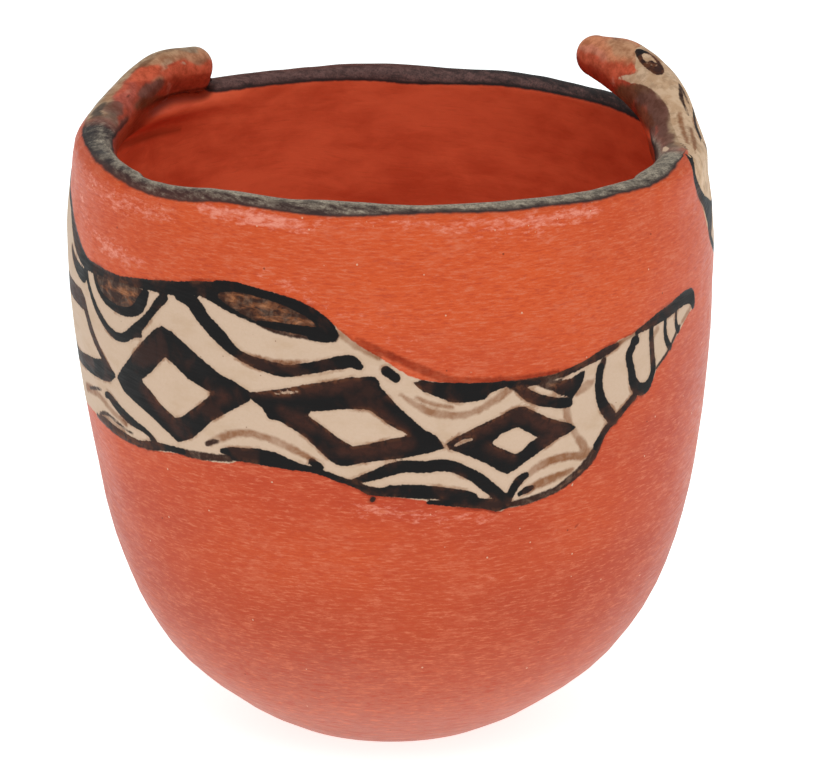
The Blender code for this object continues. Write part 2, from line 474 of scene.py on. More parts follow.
def read(items, label, kind, width=1):
    """One value of every vertex, corner or face, as rows."""
    found = np.empty(len(items) * width, kind)
    items.foreach_get(label, found)
    return found.reshape(-1, width) if width > 1 else found


def roughened(points, normals):
    """The points with the low dents and swellings that fingers leave. The foot stays flat."""
    swell = [
        LUMPS * noise.noise(Vector(point) * LUMPS_APART) + DENTS * noise.noise(Vector(point) * DENTS_APART)
        for point in points
    ]
    return points + normals * (np.array(swell) * ease(points[:, 2] / LUMPS_RISE))[:, None]


smooth_joints()
normals = read(joined.vertex_normals, "vector", float, 3)
points = roughened(read(joined.vertices, "co", float, 3), normals)
joined.vertices.foreach_set("co", points.ravel())
joined.update()
joined.shade_smooth()


# The jar was dipped or wiped with red slip, and each snake's body was laid over it in cream slip with a
# wide brush: the front one comes down from the left head and runs round to its rattle on the right, the
# back one comes down from the right head.

# Places on the wall are in degrees round the jar, 0 at the right and -90 in front, and in mm above the
# foot. The left head's side is counted on past -180.
MM_PER_DEGREE = BELLY_RADIUS * 1000 * math.radians(1)
WALL_UNITS = (MM_PER_DEGREE, 1)
# The angle where the wall is cut open, behind the jar
SEAM = 138
# Nothing farther from a brush mark than this, in mm, is measured, and never more places than this at once
FARTHEST = 4.0
PLACES_AT_ONCE = 8000
TRACK_STEPS = 3


def wall_places(points):
    """Degrees turned into mm round the jar, and height in mm."""
    degrees = np.degrees(np.arctan2(points[:, 1], points[:, 0] - sideways(points[:, 2])))
    degrees = np.where(degrees > SEAM, degrees - 360, degrees)
    return np.stack([degrees * MM_PER_DEGREE, points[:, 2] * 1000], axis=1)


def beside(places, corners):
    """The numbers of the places that lie close to a shape."""
    low, high = corners.min(axis=0) - FARTHEST, corners.max(axis=0) + FARTHEST
    return np.flatnonzero(((places > low) & (places < high)).all(axis=1))


def to_segments(places, start, step):
    """Each place's distance to each straight piece of a line, and how far along the piece that is."""
    away = places[:, None] - start[None]
    share = np.clip((away * step).sum(axis=2) / (step**2).sum(axis=1), 0, 1)
    return np.linalg.norm(away - share[..., None] * step, axis=2), share


def stroke(places, track, units=WALL_UNITS):
    """How many mm inside a brush stroke each place lies. A row is a place and a full width."""
    rows = smooth_line(track, TRACK_STEPS) * (*units, 0.5)
    start, step = rows[:-1], np.diff(rows, axis=0)
    inside = np.full(len(places), -FARTHEST)
    near = beside(places, rows[:, :2])
    gap, share = to_segments(places[near], start[:, :2], step[:, :2])
    inside[near] = (start[:, 2] + share * step[:, 2] - gap).max(axis=1)
    return np.maximum(inside, -FARTHEST)


def patch(places, outline, units=WALL_UNITS):
    """How many mm inside a closed outline each place lies. A row is a place's two numbers."""
    closed = np.array([*outline, outline[0]]) * units
    start, step = closed[:-1], np.diff(closed, axis=0)
    inside = np.full(len(places), -FARTHEST)
    near = beside(places, start)
    for some in np.array_split(near, len(near) // PLACES_AT_ONCE + 1):
        gap = to_segments(places[some], start, step)[0].min(axis=1)
        x, y = places[some, None, 0], places[some, None, 1]
        end = start + step
        spans = (start[:, 1] > y) != (end[:, 1] > y)
        flat = np.where(step[:, 1] == 0, 1e-9, step[:, 1])
        crosses = spans & (x < start[:, 0] + (y - start[:, 1]) * step[:, 0] / flat)
        inside[some] = np.where(crosses.sum(axis=1) % 2 == 1, gap, -gap)
    return np.maximum(inside, -FARTHEST)


FRONT_BAND_TOP = (
    (-209, 149), (-196, 149), (-193, 143.6), (-190, 139.9), (-185, 135.9), (-179, 132.4), (-174, 130),
    (-170.5, 128), (-168.5, 126.5), (-167, 124.9), (-164.5, 122.5), (-162.5, 120.8), (-160, 119.1),
    (-158, 118), (-155, 116.9), (-150, 116.6), (-145, 116.4), (-140, 117.2), (-135, 117.8),
    (-130, 118.8), (-125, 119.9), (-120, 120.8), (-117, 121.2), (-115, 120.9), (-110, 120),
    (-105, 118.1), (-103, 116.7), (-100, 114.3), (-98, 112), (-95, 108.9), (-93, 107.4), (-91, 105.8),
    (-89, 104), (-87, 102.3), (-85, 101.3), (-82, 100.6), (-80, 100.2), (-77, 100), (-75, 99.6),
    (-70, 99.6), (-65, 99.8), (-60, 100.2), (-57, 101), (-55, 101.6), (-52, 102.8), (-50, 103.4),
    (-47, 104.9), (-44.6, 105.2), (-41.4, 106.5), (-39.3, 107.2), (-37.2, 107.8), (-34.1, 108.6),
    (-31, 109.3), (-28.8, 109.8), (-25.6, 110.2), (-24, 110), (-22.5, 109), (-21.8, 107.5), (-22, 106),
    (-23, 105.1),
)
FRONT_BAND_BOTTOM = (
    (-24.6, 104.7), (-26.8, 103.1), (-29, 101.4), (-31.1, 99.9), (-33.2, 98.4), (-35.2, 96.6),
    (-36.8, 95.2), (-37.6, 93.4), (-38.9, 91.4), (-40.4, 90.5), (-42.5, 90.5), (-44.5, 88.7),
    (-46.1, 87.2), (-47.6, 85.5), (-50, 83.7), (-51.5, 81), (-53, 77.8), (-55, 76), (-57.5, 74),
    (-60, 72.2), (-62, 71.5), (-65, 70.5), (-67.5, 70), (-70, 69.9), (-71, 69.2), (-72, 69.4),
    (-73, 70.2), (-75, 70.6), (-78, 71.1), (-80, 71.5), (-83, 72.1), (-85, 73.1), (-88, 73.7),
    (-90, 74), (-94, 74.6), (-96, 75.9), (-98, 77.1), (-100, 77.8), (-102, 78.8), (-105, 79.4),
    (-110, 79.9), (-114, 79.8), (-117, 80.4), (-120, 79), (-123, 78.7), (-127, 78.6), (-130, 79),
    (-135, 78), (-140, 77.2), (-144, 77.1), (-148, 77.5), (-155, 78.1), (-160, 78.7), (-165, 79),
    (-172, 78.3), (-180, 79.5), (-188, 84), (-195, 92), (-200, 102), (-204, 114), (-207, 127),
    (-209, 139),
)
BACK_BAND = (
    (8, 149), (-14, 149), (-15.6, 141), (-17.8, 139.8), (-20, 138.7), (-21.2, 136.8), (-21, 134.4),
    (-19.7, 131.8), (-17.8, 129.4), (-16, 127.2), (-14.8, 125), (-13.6, 122.4), (-12.2, 119.6),
    (-10.2, 116.8), (-6, 113.4), (0, 110), (6, 104.8), (12, 99.5), (20, 92), (28, 86.5), (38, 82),
    (50, 79.5), (62, 78.5), (74, 77), (84, 75.5), (92, 74.5), (99, 76), (105, 80), (110, 85.5),
    (115, 90.5), (121, 95.5), (128, 101), (134, 106), (136.5, 108.5), (136.2, 110.5), (133, 111),
    (124, 108.5), (114, 105), (104, 102.5), (94, 101.5), (84, 103.5), (76, 108), (68, 113.5), (58, 118),
    (48, 119), (36, 118.5), (26, 120.5), (18, 125), (12, 131), (9, 137),
)
places = wall_places(points)
cream = np.maximum(patch(places, FRONT_BAND_TOP + FRONT_BAND_BOTTOM), patch(places, BACK_BAND))
# Only the outside of the wall is painted with bands
from_axis = np.hypot(points[:, 0] - sideways(points[:, 2]), points[:, 1])
outside = from_axis > np.interp(points[:, 2], outer_wall()[:, 1], outer_wall()[:, 0]) - WALL_AT_RIM / 2
cream = np.where(outside, cream, -FARTHEST)


# The rattlesnake pattern is an old one that many potters share: diamonds in a row, with arcs and lobes
# between them and the band's edge, and bars for the rattle. It is drawn freehand with a chewed-stem brush
# in black, thinned here and there to brown.

# Outer and inner outline of each diamond
DIAMONDS = (
    (
        ((-147.5, 92.3), (-149, 93.6), (-151, 95.6), (-153, 98.2), (-154.6, 101), (-156, 104),
         (-157.6, 107.6), (-160, 108.8), (-168, 108.7), (-174, 108.4), (-181, 105.6), (-186, 103),
         (-192, 99.5), (-187, 95.5), (-181, 91.5), (-175, 88.6), (-169, 88.4), (-160, 89), (-154, 89.4),
         (-150, 90.2)),
        ((-152.5, 94.6), (-155, 97.5), (-156.8, 100.6), (-158.3, 104.4), (-163, 104.6), (-168, 104.6),
         (-174, 104.5), (-180, 102.2), (-185.5, 99.4), (-180, 95.5), (-174, 92.2), (-168, 91.6),
         (-160, 93), (-156, 93.6)),
    ),
    (
        ((-147, 92.2), (-140, 100.1), (-133.8, 107.2), (-132.2, 108.2), (-130, 107.5), (-125, 103.7),
         (-120, 99.6), (-117.2, 98.4), (-114.7, 96.6), (-114.7, 94.9), (-118.5, 91.9), (-123, 88.4),
         (-125, 86), (-127.5, 83.4), (-131.1, 81.5), (-133.5, 83.4), (-137, 85.8), (-140, 87.5),
         (-145, 89.6)),
        ((-139, 94), (-136, 96.6), (-131.8, 101.5), (-130, 100.2), (-127, 97.5), (-123, 95.6),
         (-122, 95.2), (-123.4, 93.4), (-125.2, 91.6), (-127, 89.9), (-129.3, 87.8), (-131, 87.1),
         (-132.4, 88), (-134.7, 89.9), (-136.5, 91.9), (-138.3, 93.4)),
    ),
    (
        ((-115, 96.4), (-112, 97.2), (-108, 98.4), (-104, 99.8), (-100, 100.8), (-96.5, 101.9),
         (-94, 101.6), (-92.6, 100.8), (-91.3, 98.7), (-89.5, 95.8), (-87.3, 92.8), (-85, 89.9),
         (-83, 88.4), (-81.9, 86.3), (-81.5, 85.5), (-84.1, 84.5), (-87.3, 83.7), (-90, 83.2),
         (-94, 82.5), (-96, 82.1), (-98.3, 81.2), (-100, 81.5), (-101.4, 82.8), (-103, 84.9),
         (-105, 87.5), (-107.3, 89.3), (-109.5, 90.8), (-111.5, 91.1), (-112.4, 93.4), (-114.5, 95.1)),
        ((-104.5, 92.5), (-104, 93.7), (-102, 94), (-99, 94.6), (-96.5, 94.8), (-94, 94.7),
         (-92.6, 93.4), (-90.9, 91.4), (-89, 89.9), (-87.3, 88.7), (-88.6, 88.1), (-91.3, 87.5),
         (-94, 86.5), (-97, 85.9), (-98.5, 86.9), (-100, 88.2), (-101, 89.3), (-102.8, 91)),
    ),
    (
        ((-81, 86.3), (-79.2, 87.8), (-76, 89.6), (-73.8, 90.8), (-71.5, 91.9), (-69.5, 93.1),
         (-68.4, 93.5), (-67, 93.3), (-65, 91.8), (-62.5, 90), (-60, 88.7), (-58, 87.8), (-57, 86.7),
         (-58.5, 85.8), (-60, 85.3), (-62.5, 83.7), (-65, 81.9), (-67, 80.5), (-68.8, 79),
         (-70.2, 78.2), (-71.5, 79), (-74.2, 81.4), (-76.9, 83.1), (-79.2, 84.5), (-80.5, 85.1)),
        ((-73.3, 85.9), (-71.5, 87.8), (-68.8, 89), (-68.2, 89), (-67, 88), (-64.4, 85.9),
         (-66.2, 84.7), (-67.5, 83.1), (-68.8, 82.5), (-70.6, 83.7), (-72.4, 84.9)),
    ),
)
BLACK_STROKES = (
    # Along the top edge, from left to right
    ((-195.6, 146, 2), (-192, 140.8, 2.2), (-187, 136.6, 2.2), (-182, 133.2, 2.2), (-177, 130.4, 2.2),
     (-172.5, 128, 2.2), (-169.3, 126, 2.4), (-167.4, 124, 2.8), (-165.4, 121.8, 3.4),
     (-163.4, 119.8, 4), (-161, 118, 4), (-158.5, 116.8, 3.4), (-156, 116.1, 2.7), (-153, 116, 2.3),
     (-150, 116.1, 1.8), (-147, 116, 1.7), (-143, 116.2, 1.2), (-139, 116.6, 1.9), (-135, 117, 2.2),
     (-131, 117.4, 2.8), (-127, 118, 3), (-124, 118.7, 3), (-121, 119, 3.2)),
    ((-120, 119.9, 2.4), (-117, 120.3, 2), (-113, 119.8, 1.6), (-109, 118.8, 1.8), (-105.5, 117.4, 2.2),
     (-102.5, 115.4, 2.4), (-100.6, 113.2, 2.8), (-99.6, 111.4, 2.4)),
    ((-70, 99, 1.2), (-67, 98.8, 1.2), (-64.5, 98.8, 0.8)),
    ((-60, 99.8, 1.2), (-57, 100.6, 1.2), (-54, 101.6, 1.4), (-51, 102.7, 1.8), (-49, 103.3, 1.4),
     (-47.6, 103.8, 0.8)),
    ((-43, 105.4, 0.8), (-41.4, 105.9, 1.2), (-39.3, 106.4, 1.8), (-36.7, 107.1, 2.4),
     (-34, 107.5, 2.6), (-31, 108.1, 2.8), (-28.9, 108.5, 3), (-26.2, 108.8, 3.2), (-24.1, 108.4, 3.4),
     (-23, 107.2, 2.6), (-22.7, 106, 2)),
    # Lower rim of the lobe that hangs at the top left
    ((-152.5, 114.8, 1), (-151.3, 112.4, 1.2), (-149.3, 110.4, 1.3), (-147, 109.5, 1.5),
     (-144, 109, 1.7), (-140.8, 109.3, 2), (-138.6, 110.5, 2.6), (-137.2, 112.3, 3), (-136, 114.8, 2)),
    # Arc round that lobe, and a short arc to its left
    ((-156, 114.5, 1.2), (-155.3, 112, 1.3), (-154, 109.5, 1.4), (-152, 106.8, 1.7), (-150, 104.9, 1.9),
     (-148, 103.4, 1.9), (-145.5, 102.5, 1.9), (-143.5, 102.6, 1.9), (-141.5, 103.6, 2),
     (-139.5, 105.3, 2.4), (-137.5, 107.2, 2.2), (-136, 109, 1.8), (-134.5, 111, 1.7), (-133, 113.2, 2),
     (-131.5, 115, 2.2)),
    ((-141, 104.2, 1.4), (-139, 104.8, 1.5), (-137.8, 104.8, 1.2)),
    ((-166.5, 116.4, 1.4), (-164.6, 114.6, 2.3), (-162, 113.4, 2.9), (-159.6, 112.8, 3.2),
     (-157.6, 112.7, 3), (-156.5, 113.8, 2.2), (-156, 115, 1.6)),
    # Dark strokes over the long lobe in the middle of the top
    ((-112.5, 112.9, 0.8), (-109, 112.5, 1.6), (-105, 112.1, 1.8), (-101.6, 111.6, 2.2),
     (-99.6, 110.8, 1.8)),
    ((-103.4, 110.6, 1), (-101, 110.2, 1), (-99.6, 110.6, 0.8)),
    ((-125, 118.8, 2), (-122.4, 117.9, 2), (-120.4, 116.8, 1.5), (-118.5, 115.6, 1.1),
     (-116.6, 114.6, 0.8), (-114.8, 113.7, 0.6), (-113, 113, 0.5)),
    # Long arc below it
    ((-128, 116.5, 2.6), (-125.5, 115.6, 3), (-124, 114, 3.6), (-122.8, 112, 3.2), (-121, 110, 3.4),
     (-119.5, 108.4, 3.2), (-118, 106.6, 2.6), (-116, 105, 2), (-114, 104, 2.3), (-111.5, 103.2, 2.6),
     (-109, 102.6, 2.8), (-107, 102.6, 2.4), (-105, 103.2, 2.4), (-102.5, 103.9, 2.4),
     (-100.5, 104.6, 2.4), (-98.5, 105.2, 2.8), (-96.5, 105.5, 2.6), (-95.2, 104.4, 1.4)),
    # Two dabs over the middle diamond
    ((-94.6, 100.3, 3.4), (-93.4, 100.4, 3.4)),
    ((-90.8, 103.5, 2), (-89.3, 101.9, 2)),
    # Arc of the fourth lobe
    ((-67.9, 97.5, 1.6), (-67.3, 96.9, 2.2), (-65.8, 95.5, 2.4), (-63.8, 94.4, 2.4), (-61.8, 93.6, 2.2),
     (-59.8, 93.1, 2.2), (-58.6, 92.9, 2)),
    # Along the bottom edge
    ((-158, 79.3, 1), (-154, 79, 1.6), (-150, 78.6, 1.3), (-146, 78.2, 1.3), (-142, 78, 1.2),
     (-138, 78.7, 1.8), (-134, 79.2, 1.4), (-130, 79.5, 1.2)),
    ((-119, 80.8, 1.6), (-115, 80.7, 1.4), (-110, 80.3, 1.4), (-105, 80, 1.3), (-102, 79.1, 1.2),
     (-100, 78.1, 1.2), (-98, 77.3, 1.2), (-96, 76.3, 1.4), (-94.5, 75.5, 1.8), (-92, 75.1, 1.6),
     (-90, 75, 1.4)),
    ((-153, 86, 1.2), (-151.5, 86.2, 1.8), (-149.5, 85.2, 2.2), (-147, 84, 2.4), (-144.5, 83, 2.2),
     (-142, 82.3, 1.6), (-140, 81.8, 1.3), (-138.4, 80.8, 1.3), (-137.4, 79.6, 1.6)),
    ((-104.2, 81.7, 1.6), (-103, 80.6, 1.6)),
    ((-97.5, 77.5, 0.8), (-95.5, 78.3, 1.6), (-93, 79.5, 2.2), (-90.5, 80.7, 2.7), (-88, 81.3, 2.6),
     (-85, 81.1, 2.6), (-82, 81.4, 2.6), (-80, 80.9, 2.5), (-78, 79.7, 2.4), (-76, 78.1, 2.5),
     (-74.5, 76.5, 2.8), (-73, 74.8, 2.6), (-71.5, 73, 2.6), (-70.2, 71.6, 2.6)),
    ((-69.5, 73, 1.8), (-68.6, 75, 1.9), (-67.5, 76.6, 1.8), (-66.6, 77.2, 1.4)),
    ((-67.6, 72.9, 1), (-66.4, 73.6, 1.4), (-65.4, 74, 1)),
    # Bars of the rattle
    ((-51.6, 99.4, 2), (-51.9, 97, 2), (-51.8, 94, 2.2), (-51.1, 91.2, 2.6), (-49.9, 89, 2.8),
     (-48.7, 87.2, 2.8), (-47.9, 86.2, 2)),
    ((-52, 81.2, 1.8), (-50.8, 83.2, 1.6), (-49.6, 84.9, 1.6), (-48, 86.3, 1.6), (-46.2, 87.9, 1.6),
     (-44.6, 89.4, 1.4), (-43.1, 90.7, 1.6)),
    ((-43.5, 103.6, 2.2), (-43.1, 103.7, 2.2)),
    ((-44, 102.4, 1.9), (-44.8, 100.8, 1.9), (-44.6, 99, 1.9), (-44.1, 97, 2.1), (-43.8, 95, 2.3),
     (-43, 93.1, 2.7), (-41.9, 92, 2.7), (-40.4, 91.7, 2.7), (-39.2, 92.3, 2.3), (-38.4, 93.6, 1.8),
     (-37.9, 95.3, 1.8), (-38, 97, 1.8), (-38.3, 99, 1.6), (-38.6, 101.5, 1.6), (-38.8, 104, 1.4),
     (-38.7, 106, 1.4)),
    ((-34.3, 106, 1), (-34.2, 103.6, 1.2), (-33.9, 101.6, 1.4), (-33.1, 99.9, 1.6), (-32.4, 99.2, 1.4)),
    ((-30.2, 106.6, 0.9), (-30.2, 104.9, 1), (-29.8, 103.1, 1.4), (-29.1, 102.1, 1.6)),
    # Two stray drops
    ((-94.1, 73.3, 0.9), (-93.9, 73.6, 0.7)),
    ((-55.1, 63, 0.7), (-54.9, 63, 0.7)),
)
BLACK_PATCHES = (
    ((-86.3, 100.6), (-84.6, 98.7), (-83, 97.8), (-80.5, 96.3), (-78.7, 95.8), (-76, 95.9),
     (-74.2, 96.3), (-73.5, 97.5), (-71.5, 98.3), (-70, 98.8), (-70.5, 99.9), (-73, 99.8), (-77, 100),
     (-80, 100.3), (-83, 100.7), (-85, 101.2)),
    ((-61.5, 96.2), (-60.5, 95.3), (-59, 94.8), (-58, 93.8), (-57, 95), (-56, 96.5), (-55.4, 98),
     (-55.2, 99.5), (-56.4, 99.2), (-58, 98.4), (-60, 98.2), (-61.2, 97.4)),
    ((-121.5, 82.2), (-119, 83), (-117, 83.1), (-114, 83.5), (-111, 83.1), (-109, 82.2), (-107, 81.3),
     (-105, 80.3), (-103.5, 79.7), (-108, 79.8), (-112, 80.1), (-116, 80.3), (-119, 80.9),
     (-121.5, 81.3)),
    ((-91, 76.7), (-88, 76.9), (-85, 76.7), (-82.5, 76.2), (-80, 75.6), (-77.5, 75), (-76, 74),
     (-75.2, 72.8), (-73, 72.4), (-71, 72), (-69.8, 70), (-72, 69.3), (-74, 70.3), (-78, 71.1),
     (-82, 71.9), (-84.7, 72.4), (-84.3, 73), (-82, 73), (-82, 73.4), (-86, 73.7), (-90, 74.1),
     (-93, 74.6), (-93, 75.8)),
)
# Thick brown, from left to right
BROWN_STROKES = (
    ((-157.5, 80, 0.8), (-155, 81, 1.1), (-152.5, 81.2, 0.9), (-150, 80.8, 0.8), (-147, 80.2, 0.7),
     (-144, 79.7, 0.7)),
    ((-162.5, 84.4, 0.8), (-160, 85.3, 0.9), (-157, 86.2, 0.8), (-155, 86.5, 0.5)),
    ((-160, 78.8, 1.2), (-154, 78.2, 1.2), (-148, 77.6, 1.2), (-142, 77.4, 1), (-137, 78, 0.8)),
    ((-131, 79.3, 1.6), (-127, 79.4, 2), (-123, 79.8, 1.8), (-119.5, 80.4, 1.8)),
    ((-124.3, 82.7, 1.2), (-123, 83.5, 1.3), (-121.8, 83.9, 0.8)),
    ((-69.5, 98.5, 1.4), (-67.6, 97.2, 1.6)),
    ((-71, 99.4, 1), (-66, 99.3, 1.2), (-62, 99.4, 1.4), (-59, 99.8, 1.2)),
    ((-50.8, 101, 1.6), (-51.3, 99.6, 2)),
    ((-69.5, 70.6, 1.4), (-67, 70.8, 1.8), (-64.5, 71.4, 1.8), (-62, 72.1, 1.7), (-60, 72.9, 1.7),
     (-58, 74.2, 2), (-56, 75.6, 2.2), (-54.5, 77, 2.4), (-53.2, 78.4, 2.6), (-52, 80.4, 2.2),
     (-51, 82.2, 1.6)),
    ((-36.8, 95.6, 0.9), (-34.8, 97.2, 0.9), (-32.8, 98.8, 1), (-30.6, 101, 1), (-28.4, 102.8, 0.8)),
)
BROWN_PATCHES = (
    # Fillings of the lobes
    ((-152.6, 115.4), (-151.4, 112.5), (-149.4, 110.4), (-147, 109.4), (-144, 109), (-141, 109.2),
     (-139, 110.2), (-137.6, 112.5), (-136, 115.6), (-144, 116)),
    ((-121.4, 118), (-119, 116.4), (-117, 114.9), (-115, 113.9), (-112, 112), (-110, 111),
     (-107, 110.3), (-104, 110), (-101.5, 109.6), (-99, 109.9), (-98.4, 111.4), (-99.8, 113.8),
     (-103, 116.4), (-106, 118.2), (-111, 119.8), (-117, 121)),
    ((-66, 98.8), (-64.5, 97.8), (-62.5, 96.6), (-60.5, 95.5), (-59.5, 97), (-60, 98.8), (-63, 98.8)),
)
# Thin brown washes that let the slip show through
WASH_STROKES = (
    ((-98.6, 112, 1.4), (-96.4, 109.8, 1.8), (-94, 108, 1.6), (-92, 106.6, 1.4)),
    ((-95.6, 110.6, 1), (-93, 108.8, 1.4), (-90.5, 107.2, 1.6), (-88, 105.7, 1.8), (-85.5, 104.1, 2),
     (-83, 102.5, 2), (-80.5, 101.2, 1.8), (-77, 100.7, 1.6), (-73, 100.3, 1.6), (-69, 100, 1.8),
     (-65, 100, 1.8), (-61, 100.3, 1.4)),
    ((-90, 106.6, 0.5), (-87, 104.8, 0.9), (-84, 102.9, 1.2), (-81, 101.3, 1.1), (-77, 100.6, 0.9)),
    ((-88.5, 98, 0.8), (-86.5, 96, 1.3), (-84, 94, 1.9), (-81.5, 93.2, 1.8), (-79, 92.8, 1.7),
     (-76, 93.4, 1.5), (-74, 94.7, 1.7), (-72, 96.1, 1.9), (-70.5, 97.4, 1.9), (-69.5, 98.5, 1.6)),
    ((-86, 97.2, 0.8), (-83, 95.6, 1), (-80, 94.8, 0.8)),
    ((-84, 94, 1), (-81.5, 93.2, 1.1), (-79, 92.8, 1)),
    ((-49.3, 103.2, 1), (-47, 104.2, 1.2), (-44.4, 105.1, 1), (-42.4, 105.7, 1)),
    ((-58.6, 95, 1.6), (-59, 92.4, 1.9), (-58.9, 90, 1.9), (-58.2, 87.8, 1.6), (-57.2, 85.8, 1.6),
     (-56, 83.6, 2), (-54.8, 81.6, 2.4)),
    ((-58.4, 90, 0.8), (-57.8, 87.6, 0.9), (-56, 84, 0.6), (-54.2, 81, 1.4), (-53, 79.8, 1.6)),
    ((-123.5, 83.2, 1.6), (-121.5, 84.6, 1.9), (-119, 86.1, 1.9), (-116.5, 86.9, 1.8),
     (-114, 86.8, 1.7), (-111.5, 86.2, 1.8), (-109, 85.1, 1.9), (-106.8, 84, 1.7), (-105, 82.9, 1.3),
     (-104, 82.2, 1)),
    ((-123, 83.8, 0.9), (-121, 84.8, 1), (-118.5, 86.2, 0.9), (-115, 87, 0.7), (-110, 85.4, 0.7)),
    ((-67, 76.6, 1.2), (-65.4, 78.1, 1.8), (-63, 79.5, 2.1), (-60, 80.2, 2), (-58, 80.1, 1.9),
     (-56, 79.8, 2.2), (-54, 79.8, 2.2)),
    ((-66, 77.9, 0.9), (-63.5, 79.5, 1.2), (-60, 80.4, 1), (-56.4, 79.9, 1)),
    ((-66.2, 73.6, 1.4), (-64, 74.6, 2.2), (-61.5, 75.5, 2.2), (-59.5, 76, 1.8), (-57.4, 76.7, 1.4)),
    ((-65.6, 73.8, 0.8), (-63, 74.8, 1.2), (-60.6, 75.4, 1)),
    ((-166, 83.4, 2), (-161, 84.6, 2.4), (-156, 84.6, 1.6), (-151, 82.8, 1.4), (-146, 81.4, 1.4)),
    ((-156, 80, 1.4), (-152, 80, 1.4), (-147, 79.2, 1.2)),
    ((-139.4, 106.2, 0.8), (-137, 107.4, 1.8), (-135, 109.2, 1.6)),
    ((-113, 105.2, 0.6), (-108, 104.4, 1), (-104, 105.2, 0.6)),
    ((-38.6, 103, 1.6), (-37, 104.6, 1.6)),
    ((-27.5, 103.4, 1), (-25, 105, 1.2), (-23.6, 106, 1)),
    ((-57, 94.6, 1.2), (-55, 96, 2.2), (-53.4, 96.6, 1.2)),
)
# Slits that the brush left open in the diamonds' black
GAPS = (
    ((-79.5, 85.9, 0.5), (-78.2, 86.7, 0.8), (-76.6, 87.1, 0.5)),
    ((-110, 97, 0.3), (-108, 97.5, 0.6), (-106, 97.9, 0.4)),
)
# Parts of the diamonds where the black is thinned to brown, as soft strokes
THINNED = (
    ((-158, 106.6, 4.6), (-163, 106.7, 4.6), (-168, 106.8, 4.4), (-173, 106.8, 4)),
    ((-158, 104.6, 3), (-155.5, 100.6, 3.4), (-152.5, 96.6, 3.4), (-150, 94.4, 2.4)),
    ((-164, 91.4, 2.4), (-158, 91.6, 2)),
    ((-114, 96.6, 1), (-109, 97.6, 2.4), (-104, 99, 3.2), (-99, 100, 3), (-95.6, 101, 2.2)),
    ((-109, 93.4, 1.6), (-106.5, 91.6, 2.8), (-104, 90, 2.4)),
    ((-99, 85, 2.4), (-95, 84.8, 2.8), (-91, 85.8, 3), (-87.5, 87, 2.6)),
    ((-103.6, 91.6, 1.6), (-101, 88.4, 2), (-98.6, 86, 1.6)),
    ((-92.4, 94.6, 1.6), (-90.2, 91.8, 1.8), (-88, 89.4, 1.4)),
    ((-138.6, 92, 2), (-136, 89.8, 2.8), (-133, 87, 2.8), (-130.6, 84.6, 2.4)),
    ((-121.6, 95, 1.2), (-119.6, 94.8, 2.6), (-121, 92.8, 1.6)),
    ((-124, 92, 1), (-127, 89.2, 1)),
    ((-66.8, 91.6, 2.4), (-64, 89.6, 3.4), (-61.4, 87.6, 3.4), (-59.6, 86.6, 2)),
    ((-63.6, 84.6, 2), (-61.4, 85.8, 2.2)),
    ((-79, 86.6, 1.8), (-76, 88.6, 2.8), (-72.6, 90.4, 2.6), (-70, 92, 2)),
    ((-74, 85.2, 1.4), (-71.6, 83.4, 1.6), (-69.4, 82, 1.2)),
    ((-86, 99.6, 1.4), (-84, 99.4, 1.6)),
    ((-67.8, 97.4, 2.4), (-65.4, 95.2, 2.6)),
    ((-61, 97.4, 2), (-58.4, 97.8, 1.8)),
    ((-158, 79, 2), (-150, 78.4, 2), (-143, 78, 1.8), (-136, 79, 1.6)),
    ((-169, 128.4, 2), (-165, 122.4, 2.4), (-161, 118, 2.4)),
    ((-148, 115.8, 1.6), (-143, 116.2, 1.6), (-138, 116.6, 1.6)),
    ((-60, 99.8, 1), (-54, 101.6, 1), (-49, 103.3, 1.2)),
    ((-42, 105.8, 1.2), (-37, 107, 1.2)),
    ((-38.2, 97.6, 1.4), (-38.7, 102, 1.4)),
)
BRUSH_SPREAD = 0.15


def most(shapes):
    """The union of several shapes."""
    return np.maximum.reduce(list(shapes))


def strokes(tracks):
    """All the brush strokes of a list, on the wall."""
    return most(stroke(places, track) for track in tracks)


def patches(edge_shades):
    """All the filled outlines of a list, on the wall."""
    return most(patch(places, outline) for outline in edge_shades)


def ring(outer, inner):
    """The paint between two outlines."""
    return np.minimum(patch(places, outer), -patch(places, inner))


black = most([ring(*diamond) for diamond in DIAMONDS] + [strokes(BLACK_STROKES), patches(BLACK_PATCHES)])
black = np.minimum(black + BRUSH_SPREAD, -strokes(GAPS))
brown = np.maximum(strokes(BROWN_STROKES), patches(BROWN_PATCHES))
wash = np.maximum(strokes(WASH_STROKES), strokes(GAPS))
thinned = strokes(THINNED)


# The back band can't be seen in front. It is painted like the front one, but plainer, and the two necks
# are crossed by a few wavy lines.

